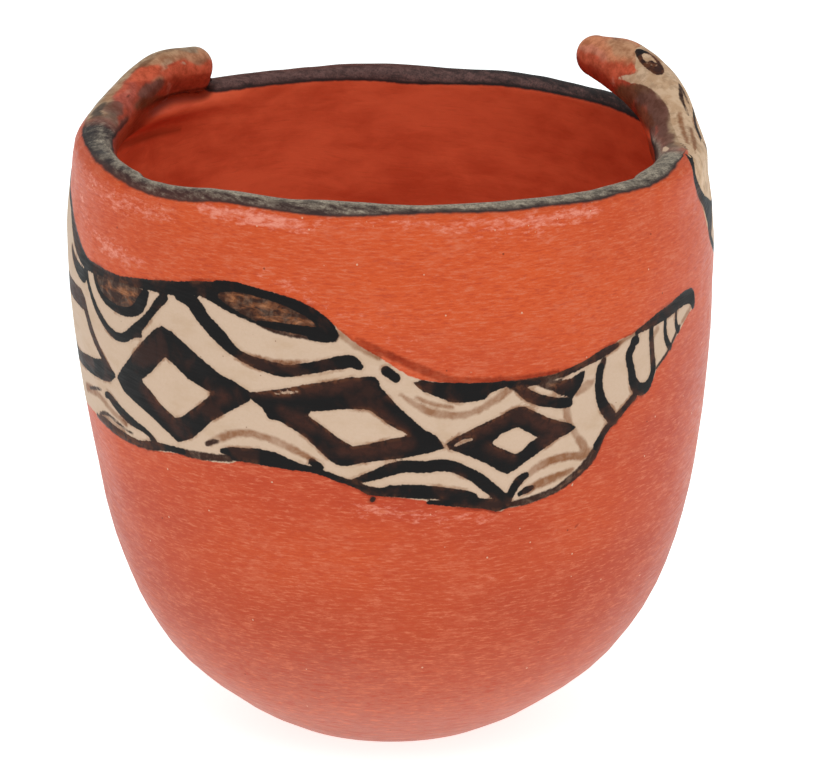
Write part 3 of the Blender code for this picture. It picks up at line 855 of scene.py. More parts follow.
# Left, top, right and bottom corner of each diamond, and of the hole in it
BACK_DIAMONDS = (
    (((13, 108.5), (27, 115), (41.5, 97.5), (30, 89)),
     ((20, 106), (27, 109.5), (34.5, 98.5), (29.5, 94.5))),
    (((41.5, 97.5), (57.5, 108.5), (72.5, 92.5), (57, 85)),
     ((49, 97), (57.3, 102.8), (65.5, 93.2), (57, 89.8))),
    (((72.5, 92.5), (85, 98.5), (97.5, 87.5), (84.5, 79.5)),
     ((79.3, 91.2), (85, 94), (90.8, 88), (84.6, 84))),
)
BACK_STROKES = (
    # Edges of the band
    ((-14.6, 141.2, 1.2), (-16.2, 140.2, 1.4), (-18.2, 139.1, 1.6), (-19.8, 137.8, 1.7),
     (-20.5, 136.2, 1.8), (-20.2, 134.4, 2), (-18.8, 132, 2.2), (-16.4, 129.6, 2.6), (-14, 127.4, 3.2),
     (-12.4, 124.9, 3.8), (-11.4, 122.4, 3), (-11.4, 120.2, 2.2), (-9.6, 117.6, 2), (-5.6, 114.4, 2),
     (0.4, 111, 2), (6.4, 105.6, 1.8), (12.4, 99.8, 1.6), (20.2, 92.4, 1.8), (28, 87.2, 2.2),
     (38, 82.8, 2), (50, 80.4, 1.6), (62, 79.2, 1.6), (74, 77.9, 2), (84, 76.4, 2.2), (92, 75.6, 1.8),
     (98, 77, 1.8), (104, 81, 1.8), (110, 86.6, 1.6), (115, 91.5, 1.4), (121, 96.6, 1.2), (128, 102, 1),
     (134, 106.6, 1)),
    ((8, 140, 1.6), (9.6, 135.8, 1.8), (12.4, 130.6, 2), (18, 124.4, 2.2), (26, 119.7, 2),
     (36, 117.5, 1.6), (48, 118, 1.8), (57.6, 116.9, 2), (67.6, 112.5, 1.8), (75.8, 107, 1.6),
     (84, 102.7, 1.4), (94, 100.8, 1.6), (104, 101.7, 2), (114, 104.2, 2.4), (124, 107.6, 2.6),
     (132, 109.8, 2.8), (135.5, 109.7, 2.2)),
    ((-14.6, 128.2, 1.6), (-12, 127, 1.9), (-9, 125.6, 1.9), (-5, 124, 1.7), (-0.6, 123.4, 1.4)),
    # Arcs between the diamonds
    ((15, 121, 1.6), (19.5, 121.3, 2), (27, 119, 2.2), (33.5, 112.6, 2.2), (38, 106.4, 2.2),
     (43.5, 105, 2.2), (48.5, 109.8, 2), (53, 115.2, 1.8)),
    ((60, 114, 1.6), (66, 107.2, 2), (71, 101, 2.2), (77, 101.6, 2), (81.5, 103, 1.6)),
    ((26, 86.8, 1.6), (33, 88.2, 2), (40, 92.2, 2.2), (45.5, 91, 2.2), (50.5, 85.6, 2),
     (54, 81.4, 1.6)),
    ((60, 80.6, 1.4), (65, 85, 2), (71.5, 87.4, 2.2), (77, 82.5, 1.8), (80, 78, 1.4)),
    # Bars of the rattle
    ((101, 101, 1.6), (103.4, 95, 2.4), (104.6, 88, 2.6), (104, 82, 2)),
    ((110.5, 102.8, 1.6), (113, 97, 2.2), (113.6, 91.4, 2)),
    ((119.5, 105, 1.4), (121.4, 101, 1.8), (121.8, 97.8, 1.4)),
    ((127.4, 107.6, 1.2), (128.8, 104.4, 1.4)),
    # Left neck, round the corner from the front band
    ((-173, 79.3, 1.4), (-180, 80.5, 1.8), (-187.6, 84.9, 2), (-194.2, 92.6, 2), (-199, 102.4, 2),
     (-203, 114.2, 2.2), (-206, 127, 2), (-208, 139, 1.6)),
    ((-178, 113, 1.6), (-183, 112, 2.2), (-188, 113.6, 2.4), (-191.6, 119, 2.2), (-193, 127, 2)),
    ((-186, 92, 1.6), (-190.4, 97, 2), (-194.6, 104, 2.2), (-197.6, 112, 2)),
)
BACK_PATCHES = (
    ((-15, 128.6), (-10, 126.4), (-4, 124.4), (-4.6, 121.6), (-8.6, 118), (-11.4, 121.4),
     (-13.6, 125.4)),
    ((33, 117), (38, 111.6), (42, 109.4), (46, 112.4), (50, 117), (42, 118)),
    ((66, 112.5), (69.6, 108), (73, 105.4), (77.6, 105.6), (74, 108), (69, 111.8)),
    ((35, 85), (39.6, 87.6), (43.4, 87.6), (47, 83.4), (41, 82.8)),
)
BACK_THINNED = (
    ((-4, 138, 1.2), (-2.4, 131, 1.4), (2, 126, 1.2), (3.4, 119, 1.4), (8, 113.5, 1.2)),
    ((1, 138, 1.2), (2.6, 131.6, 1.4), (7, 126.4, 1.2), (8.4, 120.2, 1.4), (11, 116.4, 1.2)),
    ((-194, 141, 1.2), (-193.4, 134, 1.4), (-197.6, 128, 1.4), (-197.4, 121, 1.2)),
    ((-200.5, 141, 1.2), (-200, 134, 1.4), (-203.2, 129, 1.2)),
    ((-182, 120, 1.2), (-184, 126, 1.4), (-183, 132, 1.2)),
    ((66, 97, 2), (60, 103, 2.4), (56, 104.6, 1.8)),
    ((22, 99, 1.6), (28, 92.5, 2), (33, 93, 1.6)),
)
back_rings = [ring(*diamond) for diamond in BACK_DIAMONDS]
black = most([black, *back_rings, strokes(BACK_STROKES), patches(BACK_PATCHES)])
thinned = np.maximum(thinned, strokes(BACK_THINNED))
brown = np.maximum(brown, strokes(BACK_THINNED))
black, brown, wash, thinned = (
    np.where(outside, layer, -FARTHEST) for layer in (black, brown, wash, thinned)
)


# The lip is painted black all round, with a soft wavering edge a few mm down either side, and it has
# gone grey and chalky where hands and the air have worn it. At the back a mauve painted sheen lies on its
# inner side. The paint runs up the hidden side of each head's neck.

# How wide a strip of the crest the outer edge's paint and the inner edge's blend over
CREST_BLEND = 0.0016
EDGE_STEPS = 6
# Degrees round the jar and the height in mm of the paint's lower edge, outside and inside
LIP_EDGE_OUTSIDE = (
    (-222, 137.8), (-212, 137.8), (-209, 139), (-206, 144), (-190, 144), (-186, 141.6), (-180, 140.6),
    (-172.5, 140.2), (-163.2, 139.8), (-158.6, 139.4), (-153.7, 138.9), (-148.9, 138.4), (-145, 137.8),
    (-141.8, 137.2), (-138.8, 137), (-135.9, 136.7), (-133.3, 136.7), (-127, 137.1), (-122, 137.9),
    (-118, 138.2), (-112.5, 137.9), (-107, 137.5), (-99.5, 137.2), (-92, 137.4), (-88, 137.7),
    (-80, 137.7), (-71, 137.3), (-62, 137.3), (-52, 136.9), (-45.6, 137.1), (-40.3, 137),
    (-37.3, 136.9), (-34.9, 137.3), (-32.7, 137.6), (-30.3, 137.9), (-28.3, 138.3), (-26.1, 138.8),
    (-23.4, 139.4), (-20.5, 140.2), (-17, 142), (-14, 144.6), (6, 144), (10, 139), (16, 137.4),
    (60, 137.8), (100, 137.2), (138, 137.8),
)
LIP_EDGE_INSIDE = (
    (-222, 146), (-200, 146), (-196, 142), (-192.6, 139.3), (-188, 138.9), (-182, 138.9), (-174, 139),
    (-165, 138.8), (-150, 138.2), (-120, 137.6), (-80, 137.4), (-40, 137.2), (-20, 136.6), (-8, 137),
    (0, 138.4), (5, 141), (12, 141), (17, 138), (22, 135.6), (28, 135.2), (34.5, 135.7), (41, 136.3),
    (54, 136.8), (66, 137.3), (77, 136.7), (86, 136.6), (92, 137.2), (99, 137.6), (110, 137.7),
    (124, 137.6), (131, 138.2), (134.5, 141), (138, 146),
)


def above_edge(edge):
    """How far above a painted edge each point stands, in mm."""
    rows = smooth_line(edge, EDGE_STEPS)
    return places[:, 1] - np.interp(places[:, 0] / MM_PER_DEGREE, rows[:, 0], rows[:, 1])


crest = RIM_RADIUS - WALL_AT_RIM / 2
over_lip = ease((from_axis - crest) / CREST_BLEND + 0.5)
lip = above_edge(LIP_EDGE_OUTSIDE) * over_lip + above_edge(LIP_EDGE_INSIDE) * (1 - over_lip)
lip = np.clip(lip, -FARTHEST, FARTHEST)

# How the lip has worn: degrees round the jar, how far its outer edge, its crest and its inner edge have
# gone brown, then how chalky each of them is, which at the back stands for a mauve painted sheen
LIP_WEAR_AND_SHEEN = (
    (-222, 0.4, 0.3, 0.3, 0.1, 0.2, 0.2),
    (-205, 0.1, 0.1, 0.1, 0.05, 0.1, 0.05),
    (-190, 0.05, 0.05, 0.1, 0, 0.05, 0.1),
    (-176, 0.1, 0, 0.05, 0, 0.1, 0.2),
    (-165, 0.2, 0, 0.05, 0, 0.15, 0.4),
    (-155, 0.3, 0.05, 0.05, 0, 0.3, 0.75),
    (-142, 0.35, 0.08, 0, 0.05, 0.5, 0.95),
    (-128, 0.3, 0.08, 0, 0.1, 0.75, 0.9),
    (-116, 0.2, 0.05, 0, 0.25, 0.8, 0.85),
    (-104, 0.15, 0.05, 0, 0.2, 0.7, 0.85),
    (-92, 0.15, 0, 0, 0.25, 0.8, 0.9),
    (-75, 0.1, 0, 0, 0.35, 0.85, 0.85),
    (-60, 0.1, 0, 0, 0.35, 0.7, 0.8),
    (-45, 0.1, 0, 0, 0.35, 0.6, 0.75),
    (-30, 0.1, 0, 0, 0.35, 0.55, 0.65),
    (-15, 0.1, 0, 0, 0.4, 0.55, 0.55),
    (-5, 0.1, 0, 0, 0.45, 0.6, 0.5),
    (8, 0, 0, 0, 0.4, 0.5, 0.4),
    (20, 0, 0, 0, 0.05, 0.1, 0.2),
    (45, 0, 0, 0, 0, 0, 0.4),
    (62, 0.05, 0, 0, 0, 0, 0.6),
    (74, 0.4, 0.15, 0, 0, 0.05, 0.7),
    (84, 0.9, 0.4, 0.05, 0, 0.1, 0.7),
    (95, 1, 0.8, 0.1, 0, 0.1, 0.7),
    (110, 0.95, 0.75, 0.1, 0, 0.1, 0.75),
    (125, 0.9, 0.55, 0.1, 0, 0.1, 0.7),
    (138, 0.5, 0.4, 0.3, 0.1, 0.2, 0.2),
)
degrees = places[:, 0] / MM_PER_DEGREE
over_crest = (from_axis - crest) / (WALL_AT_RIM / 2)
aside = ease(np.abs(over_crest) / 0.8)
wear_and_sheen = np.array(LIP_WEAR_AND_SHEEN)
wear_and_sheen = np.stack([np.interp(degrees, wear_and_sheen[:, 0], column) for column in wear_and_sheen[:, 1:].T])
browning, chalk_and_sheen = (
    crest_share * (1 - aside) + np.where(over_crest > 0, outer, inner) * aside
    for outer, crest_share, inner in (wear_and_sheen[:3], wear_and_sheen[3:])
)
# At the back, the painted sheen keeps off the lowest mm of the paint inside
BACK_FROM, BACK_FADE = 12, 20
at_back = ease((degrees - BACK_FROM) / BACK_FADE)
below_sheen = np.where(over_crest < 0, 1, 0) * at_back * (1 - ease((lip - 0.1) / 1.1))
chalk_and_sheen = chalk_and_sheen * (1 - below_sheen)
# Places on the lip for its slanting smears: mm along a smear, and mm across it
SMEAR_SLANT = math.radians(-20)
round_lip = degrees * MM_PER_DEGREE
over = np.where(over_crest > 0, -1, 1) * (RIM_HEIGHT - points[:, 2]) * 1000 - over_crest * WALL_AT_RIM * 500
along_smear = round_lip * math.cos(SMEAR_SLANT) + over * math.sin(SMEAR_SLANT)
across_smear = over * math.cos(SMEAR_SLANT) - round_lip * math.sin(SMEAR_SLANT)


# The heads were painted last and handled most: cream slip on top, red wiped over the snout, a black ring
# for each eye, and the dark of the lip running up their inner sides. A place on a head is in mm back from
# the middle of the snout, and in degrees from its outer side up over the top to the inner side.

# The points are taken in this many lots, to save memory
LOTS = 40


def head_places(head, way):
    """Mm back from the snout, degrees round, and distance from the middle as a share of the coil's size."""
    centre, side, up, wide, thick = coil_stations(head)
    along = np.cumsum(np.linalg.norm(np.diff(centre, axis=0, prepend=centre[:1]), axis=1))
    along = (along[-SNOUT_STEPS] - along) * 1000
    near = np.concatenate(
        [
            np.linalg.norm(some[:, None] - centre, axis=2).argmin(axis=1)
            for some in np.array_split(points, LOTS)
        ]
    )
    away = points - centre[near]
    across = (away * side[near]).sum(axis=1)
    rise = (away * up[near]).sum(axis=1) * way
    ahead = np.cross(side[near], up[near])
    back = along[near] + (away * ahead).sum(axis=1) * 1000
    degrees = np.mod(np.degrees(np.arctan2(rise, across)) + 110, 360) - 110
    closeness = np.hypot(across / wide[near], rise / thick[near])
    return np.stack([back, degrees], axis=1), closeness


OLIVE_TAN = (0.5, 0.34, 0.21)
PALE_TAN = (0.6, 0.4, 0.26)
GREY_TAN = (0.33, 0.25, 0.17)
ORANGE_TAN = (0.66, 0.25, 0.125)
TAN = (0.5, 0.28, 0.155)
PINK = (0.66, 0.23, 0.15)
CORAL = (0.66, 0.12, 0.055)
ROSE = (0.5, 0.105, 0.068)
BRICK = (0.44, 0.066, 0.03)
CHERRY = (0.43, 0.05, 0.02)
DEEP_RED = (0.28, 0.022, 0.008)
BROWN = (0.17, 0.052, 0.022)
OLIVE_BROWN = (0.16, 0.07, 0.03)
UMBER = (0.165, 0.07, 0.05)
DARK_UMBER = (0.1, 0.024, 0.012)
SOOT = (0.045, 0.03, 0.024)
ASH = (0.2, 0.165, 0.12)
PALE = (0.8, 0.55, 0.4)
# Rows of a dab: mm back and degrees round of its middle, its half length in mm and half width in degrees,
# its lean in degrees round for each mm back, how strong it is, and its colour
RIGHT_DABS = (
    (30, 40, 44, 100, 0, 1.0, OLIVE_TAN),
    (2, 118, 14, 70, 0, 1.0, ORANGE_TAN),
    (10, 108, 5.5, 24, 0, 0.75, TAN),
    (3, 152, 6, 15, 0, 0.7, PINK),
    (4, 176, 13, 19, 0, 0.9, CORAL),
    (6, 208, 20, 27, 0, 1.0, CHERRY),
    (12.6, 162, 3.6, 24, -3, 0.95, CORAL),
    (17, 138, 2.6, 12, -4, 1.0, CORAL),
    (27, 146, 5, 26, -3, 1.0, UMBER),
    (17.5, 204, 4, 24, -6, 0.9, OLIVE_BROWN),
    (22, 186, 4, 34, -7, 0.95, BROWN),
    (27.4, 192, 3, 24, -6, 0.9, DARK_UMBER),
    (38, 196, 13, 15, 0, 0.95, DEEP_RED),
    (25, 140, 3, 14, -3, 0.5, OLIVE_BROWN),
    (39, 132, 11, 27, 0, 1.0, UMBER),
    (33, 166, 6, 18, -3, 0.85, BROWN),
    (45, 166, 10, 19, -1, 1.0, DARK_UMBER),
    (53, 148, 8, 18, -2, 0.8, DARK_UMBER),
    (54, 118, 7, 19, 0, 0.9, UMBER),
    (42, 141, 1.8, 7, 0, 0.5, ROSE),
    (45.5, 152, 1, 4, 0, 0.5, PINK),
    (65, 104, 8, 30, -1, 0.9, ASH),
    (63, 74, 3, 11, 0, 0.8, BRICK),
    (13.6, 186, 0.8, 12, -7, 0.7, PINK),
    (5, 90, 0.9, 13, 0, 0.5, UMBER),
)
LEFT_DABS = (
    (20, 40, 38, 92, 0, 1.0, OLIVE_TAN),
    (28, 150, 19, 62, 0, 1.0, BRICK),
    (3, 170, 8, 60, 0, 1.0, CORAL),
    (17, 160, 3.6, 12, -3, 0.6, TAN),
    (9, 192, 5, 12, -4, 0.8, OLIVE_BROWN),
    (2, 132, 5, 26, 0, 0.8, TAN),
    (3, 108, 3.2, 13, 0, 0.8, GREY_TAN),
    (10, 178, 7, 23, -3, 1.0, CORAL),
    (2, 210, 9, 20, 0, 0.7, CHERRY),
    (13, 118, 8, 24, 0, 0.8, TAN),
    (14, 140, 2.8, 11, 2, 0.7, PALE_TAN),
    (20, 96, 6, 10, 0, 0.6, OLIVE_BROWN),
    (9, 92, 4, 9, 0, 0.5, OLIVE_BROWN),
    (10, 214, 6, 26, -4, 0.8, BRICK),
    (13.6, 222, 1.4, 26, -6, 0.5, PINK),
    (21, 122, 6.4, 25, -3, 1.0, CORAL),
    (23, 172, 7, 24, -2, 0.85, UMBER),
    (25, 206, 9, 22, -4, 0.9, BROWN),
    (27, 212, 2.4, 20, -4, 0.7, OLIVE_BROWN),
    (34, 120, 7, 29, 0, 1.0, ROSE),
    (31, 100, 4, 10, 0, 0.5, CORAL),
    (33, 76, 5.6, 16, 0, 0.85, TAN),
    (41.5, 112, 4.6, 32, 0, 0.85, UMBER),
    (41, 192, 10, 13, -2, 0.85, DEEP_RED),
    (45, 70, 6, 16, 0, 0.85, SOOT),
    (50, 166, 10, 16, 0, 0.8, UMBER),
    (56, 118, 12, 36, 0, 0.75, ASH),
    (52, 82, 8, 8, 0, 0.5, SOOT),
    (31.6, 117, 1.2, 6, 0, 0.6, PINK),
    (32.9, 131, 0.5, 5, 0, 0.8, DARK_UMBER),
    (7.5, 152, 0.4, 3.4, 0, 0.9, PALE),
    (1.6, 150, 2.4, 9, 0, 0.4, BROWN),
)
HEAD_SIZE = 0.108
HEAD_UNITS = (1, HEAD_SIZE)
# The cream on the right head
RIGHT_CREAM = (
    (64, -90), (65, -30), (66.2, 0), (66.4, 30), (65, 46), (62.2, 60), (59.4, 71), (58, 83), (55, 91),
    (50, 96.5), (46, 99.5), (42, 103), (37, 103), (33.6, 106.5), (31, 112), (28.8, 120), (26.3, 130),
    (24, 140), (22, 150), (20.6, 157.5), (18.6, 161), (17, 165), (15.6, 172), (15.2, 170), (16, 162),
    (17, 155), (18.8, 144), (20.2, 132), (20.3, 127.4), (18.4, 128.6), (17.4, 121), (16, 113),
    (13.4, 104), (12.4, 92), (12, 78), (9, 60), (7, 30), (7, -20), (12, -90),
)
# An eye: mm back, degrees round, half length in mm and half width in degrees of its outline, then of the
# light ground inside it, then of its pupil
RIGHT_EYES = (
    ((18.8, 92.5, 6, 19.5), (18.2, 91.5, 3, 10.5), (19.7, 92.5, 1.3, 5)),
    ((15, -12, 5.2, 19), (15, -12, 2.8, 10), (15.4, -12, 1, 4)),
)
LEFT_EYES = (((14, 14, 5.2, 19), (13.6, 14, 2.8, 10), (14.2, 14, 1, 4)),)
RIGHT_LINES = (
    ((27.4, 57, 0.7), (29.4, 62, 1.2), (31.6, 66.6, 1.3), (33.8, 65.4, 1), (35.8, 62.6, 0.8),
     (38, 60, 0.5)),
    ((28, 56, 0.5), (30, 51, 0.7), (32.6, 48, 0.7)),
    ((57.4, 84, 0.4), (59.2, 74, 0.6), (60.4, 67, 0.8)),
)
# A dark line of painted shade along the right head's far edge, laid in with the black
RIGHT_EDGE_SHADE = (
    ((33, 30, 0.8), (36, 36, 1.1), (40, 39.6, 1.3), (43.4, 38, 1.4), (46.2, 33.6, 1.4), (49, 28, 1.2),
     (53, 24, 1)),
)
LEFT_LINES = (
    ((24, 44, 0.8), (27, 30, 1), (24, 12, 1), (28, -6, 0.8)),
    ((33, 46, 0.8), (36, 32, 1), (33, 14, 1), (37, -4, 0.8)),
)
HEAD_WASHES = (
    ((13, 76, 1), (16, 71, 1.1), (19, 70, 0.9)),
    ((38, 81, 1), (44, 81, 1.2), (50, 77, 1.2), (56, 71, 1)),
    ((44, 60, 1), (50, 58, 1.3), (56, 52, 1.2), (60, 40, 1)),
)
# How close together the wanderings of a colour's edge are, and how far they go in mm
WANDER = (260.0, 1.0), (640.0, 0.5)
# Only what lies this near a head, in metres below the rim and in coil sizes from the middle, wanders
WANDER_BELOW, WANDER_EDGE = 0.006, 1.5
# The seed that keeps the wandering the same each time
WANDER_SEED = 5
# A dab is whole in its middle and gone at its edge, both as shares of its size
DAB_EDGE, DAB_FADE = 1.2, 0.4
# A head's paint fades out round its coil, in coil sizes from the middle, then towards its root, in mm, and
# just below the rim, in metres
COIL_EDGE, COIL_FADE = 1.3, 0.12
ROOT_FADE = 10
BELOW_RIM, RIM_FADE = 0.0015, 0.002
# What is drawn on a head stops a little before that, and the neck's own bands go on a little past the root
DRAWN_EDGE, DRAWN_ROOT, DRAWN_BELOW = 1.25, 66, 0.001
NECK_LAP = 4
# Between these two distances from the snout the drawing is thinned to brown
THIN_FROM, THIN_TO = 15, 30


def wandering(points, places):
    """Places on a head, moved a little so that the edges of worn colour wander."""
    moves = np.zeros((len(points), 2))
    for apart, reach in WANDER:
        for k, point in enumerate(points):
            shift = noise.noise_vector(Vector(point) * apart)
            moves[k] += shift.x * reach, shift.y * reach / HEAD_SIZE
    return places + moves


def dab_over(colour, spots, dabs):
    """Lays soft dabs of colour one over another."""
    for back, degrees, length, width, lean, strength, pigment in dabs:
        backward = spots[:, 0] - back
        away = np.hypot(backward / length, (spots[:, 1] - degrees - lean * backward) / width)
        share = (strength * ease((DAB_EDGE - away) / DAB_FADE))[:, None]
        colour = colour * (1 - share) + np.array(pigment) * share
    return colour


def oval(spots, back, degrees, length, width):
    """How many mm inside an oval each place on a head lies."""
    away = (spots - (back, degrees)) * HEAD_UNITS
    size = np.array((length, width)) * HEAD_UNITS
    far = np.hypot(*(away / size).T)
    return (1 - far) * far / (np.hypot(*(away / size**2).T) + 1e-9)


def eye_paint(spots, outline, ground, pupil):
    """A black ring round a light ground, with a black pupil in it."""
    ring_paint = np.minimum(oval(spots, *outline), -oval(spots, *ground))
    return np.maximum(ring_paint, oval(spots, *pupil))


head_colour = np.tile(np.array(BRICK), (len(points), 1))
head_cover = np.zeros(len(points))
# Coil, which way its degrees turn, mm back to its root, colours, cream, eyes, brown lines, black lines of
# painted shade along the edge, and washes
HEADS = (
    (RIGHT_HEAD, -1, 67.0, RIGHT_DABS, RIGHT_CREAM, RIGHT_EYES, RIGHT_LINES, RIGHT_EDGE_SHADE, HEAD_WASHES),
    (LEFT_HEAD, 1, 58.0, LEFT_DABS, (), LEFT_EYES, LEFT_LINES, (), ()),
)
near_heads = np.flatnonzero(points[:, 2] > RIM_HEIGHT - WANDER_BELOW)
noise.seed_set(WANDER_SEED)
for head, way, root, dabs, outline, eyes, lines, edge_shades, washes in HEADS:
    spots, closeness = head_places(head, way)
    wide_spots = spots.copy()
    some = near_heads[closeness[near_heads] < WANDER_EDGE]
    wide_spots[some] = wandering(points[some], spots[some])
    clear = ease((COIL_EDGE - closeness) / COIL_FADE) * ease((root - wide_spots[:, 0]) / ROOT_FADE)
    clear = clear * ease((points[:, 2] - RIM_HEIGHT + BELOW_RIM) / RIM_FADE)
    colour = dab_over(head_colour, wide_spots, dabs)
    head_colour = head_colour * (1 - clear[:, None]) + colour * clear[:, None]
    head_cover = np.maximum(head_cover, clear)

    on_head = (closeness < DRAWN_EDGE) & (spots[:, 0] < DRAWN_ROOT)
    on_head = on_head & (points[:, 2] > RIM_HEIGHT - DRAWN_BELOW)
    flat = spots * HEAD_UNITS
    layer = patch(flat, outline, HEAD_UNITS) if outline else np.full(len(points), -FARTHEST)
    # Past the neck the band's own paint goes on under the head's
    past_neck = spots[:, 0] >= root - NECK_LAP
    cream = np.where(on_head, np.maximum(layer, np.where(past_neck, cream, -FARTHEST)), cream)
    # The eyes and the painted shade along the edge go into the black
    drawn = [eye_paint(spots, *eye) for eye in eyes] + [stroke(flat, line, HEAD_UNITS) for line in edge_shades]
    black = np.where(on_head, most([*drawn, np.where(past_neck, black, -FARTHEST)]), black)
    drawn = most(stroke(flat, line, HEAD_UNITS) for line in lines)
    brown = np.where(on_head, np.maximum(brown, drawn), brown)
    thinned = np.where(on_head & (spots[:, 0] > THIN_FROM) & (spots[:, 0] < THIN_TO), FARTHEST, thinned)
    if washes:
        drawn = most(stroke(flat, line, HEAD_UNITS) for line in washes)
        wash = np.where(on_head, np.maximum(wash, drawn), wash)


# Handling has left its marks: chalky scuffs where the slip is rubbed, most of them below the lip and on
# the left side, and a few small chips that show the buff clay. The strongest pale marks, just below the
# front of the lip, are painted highlights.

# Rubbed pale, with painted highlights in the first three rows, below the front of the lip: degrees and
# height, full width in mm, and how strongly
SCUFFS_AND_HIGHLIGHTS = (
    (1.0, ((-124, 136.4, 1), (-118, 136, 1.8), (-112, 135.6, 2.2), (-107, 135.2, 1.8), (-103, 135, 1))),
    (0.45, ((-102, 135.6, 1), (-96, 135.6, 1.4), (-90, 135.6, 1.4), (-84, 135.2, 1.6))),
    (0.68, ((-82, 134.4, 2.2), (-75, 134.2, 3.4), (-67, 134.2, 3.8), (-59, 134.6, 3.2),
            (-52, 135.2, 2))),
    (0.4, ((-160, 136, 3), (-150, 134, 5), (-140, 133, 5), (-130, 133.6, 3))),
    (0.4, ((-162, 130, 3), (-156, 125, 4), (-148, 123, 3), (-142, 123, 2))),
    (0.9, ((-149.4, 121.4, 0.7), (-146, 121.4, 1.2), (-142, 121, 1.3), (-137, 121.4, 0.7))),
    (0.45, ((-97, 71.5, 2), (-92, 71, 2.4), (-85, 69.4, 2.2), (-78, 68.6, 1.6), (-73, 67.6, 1.2))),
    (0.35, ((-112, 124, 2), (-100, 117, 2), (-92, 112, 2), (-86, 108, 2))),
    (0.3, ((-34, 74, 2), (-30, 76, 3), (-26, 78, 2))),
)
CHIPS = (
    ((-56.3, 109, 0.7), (-56.2, 109.2, 0.7)),
    ((-79, 107.9, 0.35), (-78.9, 108, 0.35)),
    ((-76.6, 102.6, 0.3), (-76.5, 102.6, 0.3)),
    ((-60.4, 113.6, 0.4), (-60.3, 113.6, 0.4)),
    ((-83.6, 58, 0.5), (-83.4, 58.1, 0.5)),
    ((-112, 76, 0.4), (-111.9, 76.1, 0.4)),
    ((-33.6, 77.4, 0.5), (-33.4, 77.5, 0.5)),
    ((-57, 73, 0.5), (-56.8, 73.1, 0.5)),
)
# A row of small chips over the rim at the right head's root, in places on the head
RIM_CHIPS = ((57.6, 122, 0.8), (59.6, 117.6, 1.5), (61, 114.4, 1.5), (62.6, 110.6, 0.8))
CHIPS_ROOT, CHIPS_ANGLE = 70, -25
# How far outside its track a scuff or painted highlight is gone, and over how many mm it comes up
SCUFF_EDGE, SCUFF_FADE = 2.2, 4.4
# Painted shade darkens the creases inside the rim, under the heads and under the ledge below the left one.
# It starts just below the crest, in metres, and under the ledge it fades over mm.
SHADE_BELOW, SHADE_FADE = 0.0002, 0.0012
LEDGE_SHADE, LEDGE_SHADE_EDGE, LEDGE_SHADE_FADE = 0.5, 1.6, 2.8
SHADE_UNDER_LEDGE = ((-222, 130.4, 1), (-214, 130.6, 2), (-204, 131, 2.2), (-194, 131.6, 2), (-186, 132.4, 1))
inner_rim = (from_axis < crest - 0.001) & (points[:, 2] > RIM_HEIGHT - CREASE_DEPTH)
crease_shade = [in_crease(vertex.co) if near else 0.0 for vertex, near in zip(joined.vertices, inner_rim)]
below_crest = RIM_HEIGHT + wave(RIM_WAVES, np.radians(degrees)) - points[:, 2]
crease_shade = np.array(crease_shade) * ease((below_crest - SHADE_BELOW) / SHADE_FADE)
shade_under_ledge = ease((stroke(places, SHADE_UNDER_LEDGE) + LEDGE_SHADE_EDGE) / LEDGE_SHADE_FADE)
crease_shade = np.where(inner_rim, np.maximum(crease_shade, LEDGE_SHADE * shade_under_ledge), 0)
scuffs_and_highlights = np.zeros(len(points))
for strength, track in SCUFFS_AND_HIGHLIGHTS:
    scuffs_and_highlights = np.maximum(scuffs_and_highlights, strength * ease((stroke(places, track) + SCUFF_EDGE) / SCUFF_FADE))
scuffs_and_highlights = np.where(outside, scuffs_and_highlights, 0)
chips = np.where(outside, strokes(CHIPS), -FARTHEST)
spots, closeness = head_places(RIGHT_HEAD, -1)
chipped = stroke(spots * HEAD_UNITS, RIM_CHIPS, HEAD_UNITS)
at_root = (closeness < COIL_EDGE) & (spots[:, 0] < CHIPS_ROOT) & (degrees > CHIPS_ANGLE)
chips = np.where(at_root, np.maximum(chips, chipped), chips)

# The cream on the heads and necks is browner than on the bands. Where each neck is: its middle and half
# span in degrees. It starts at a height and is brown all through some mm above that.
NECKS = ((-4, 45), (-200, 40))
NECK_HEIGHT, NECK_FADE = 114, 16
necks = most(hump(degrees - middle, span) for middle, span in NECKS)
handled = np.maximum(head_cover, ease(ease((places[:, 1] - NECK_HEIGHT) / NECK_FADE) * necks * 1.6))

paints = {
    "cream_slip": cream,
    "black_paint": black,
    "brown_paint": brown,
    "wash_paint": wash,
    "thinned_paint": thinned,
    "lip_paint": lip,
    "head_cover": head_cover,
    "handled": handled,
    "lip_chalk_and_sheen": chalk_and_sheen,
    "lip_browning": browning,
    "scuffs_and_highlights": scuffs_and_highlights,
    "chips": chips,
    "inner_side": np.where(outside, 0, 1),
    "crease_shade": crease_shade,
}
for name, amount in paints.items():
    layer = joined.attributes.new(name, "FLOAT", "POINT")
    layer.data.foreach_set("value", np.ascontiguousarray(amount, np.float32))
layer = joined.attributes.new("head_colour", "FLOAT_COLOR", "POINT")
layer.data.foreach_set("color", np.c_[head_colour, np.ones(len(points))].astype(np.float32).ravel())
layer = joined.attributes.new("smear_places", "FLOAT_VECTOR", "POINT")
smear_places = np.stack([along_smear, across_smear, np.zeros(len(points))], axis=1)
layer.data.foreach_set("vector", smear_places.astype(np.float32).ravel())


# The finish is thin mineral slips over the clay. The red one was rubbed with a smooth stone until it had
# a soft shine, in short strokes round the jar, and the cream and the black lie over it, more matt.


def put(tree, kind, feeds=(), **settings):
    """A new shader node. Feeds pair a socket's name or number with a value or with another's output."""
    made = tree.nodes.new(kind)
    for name, value in settings.items():
        setattr(made, name, value)
    for name, value in dict(feeds).items():
        if isinstance(value, bpy.types.NodeSocket):
            tree.links.new(value, made.inputs[name])
        else:
            made.inputs[name].default_value = value
    return made


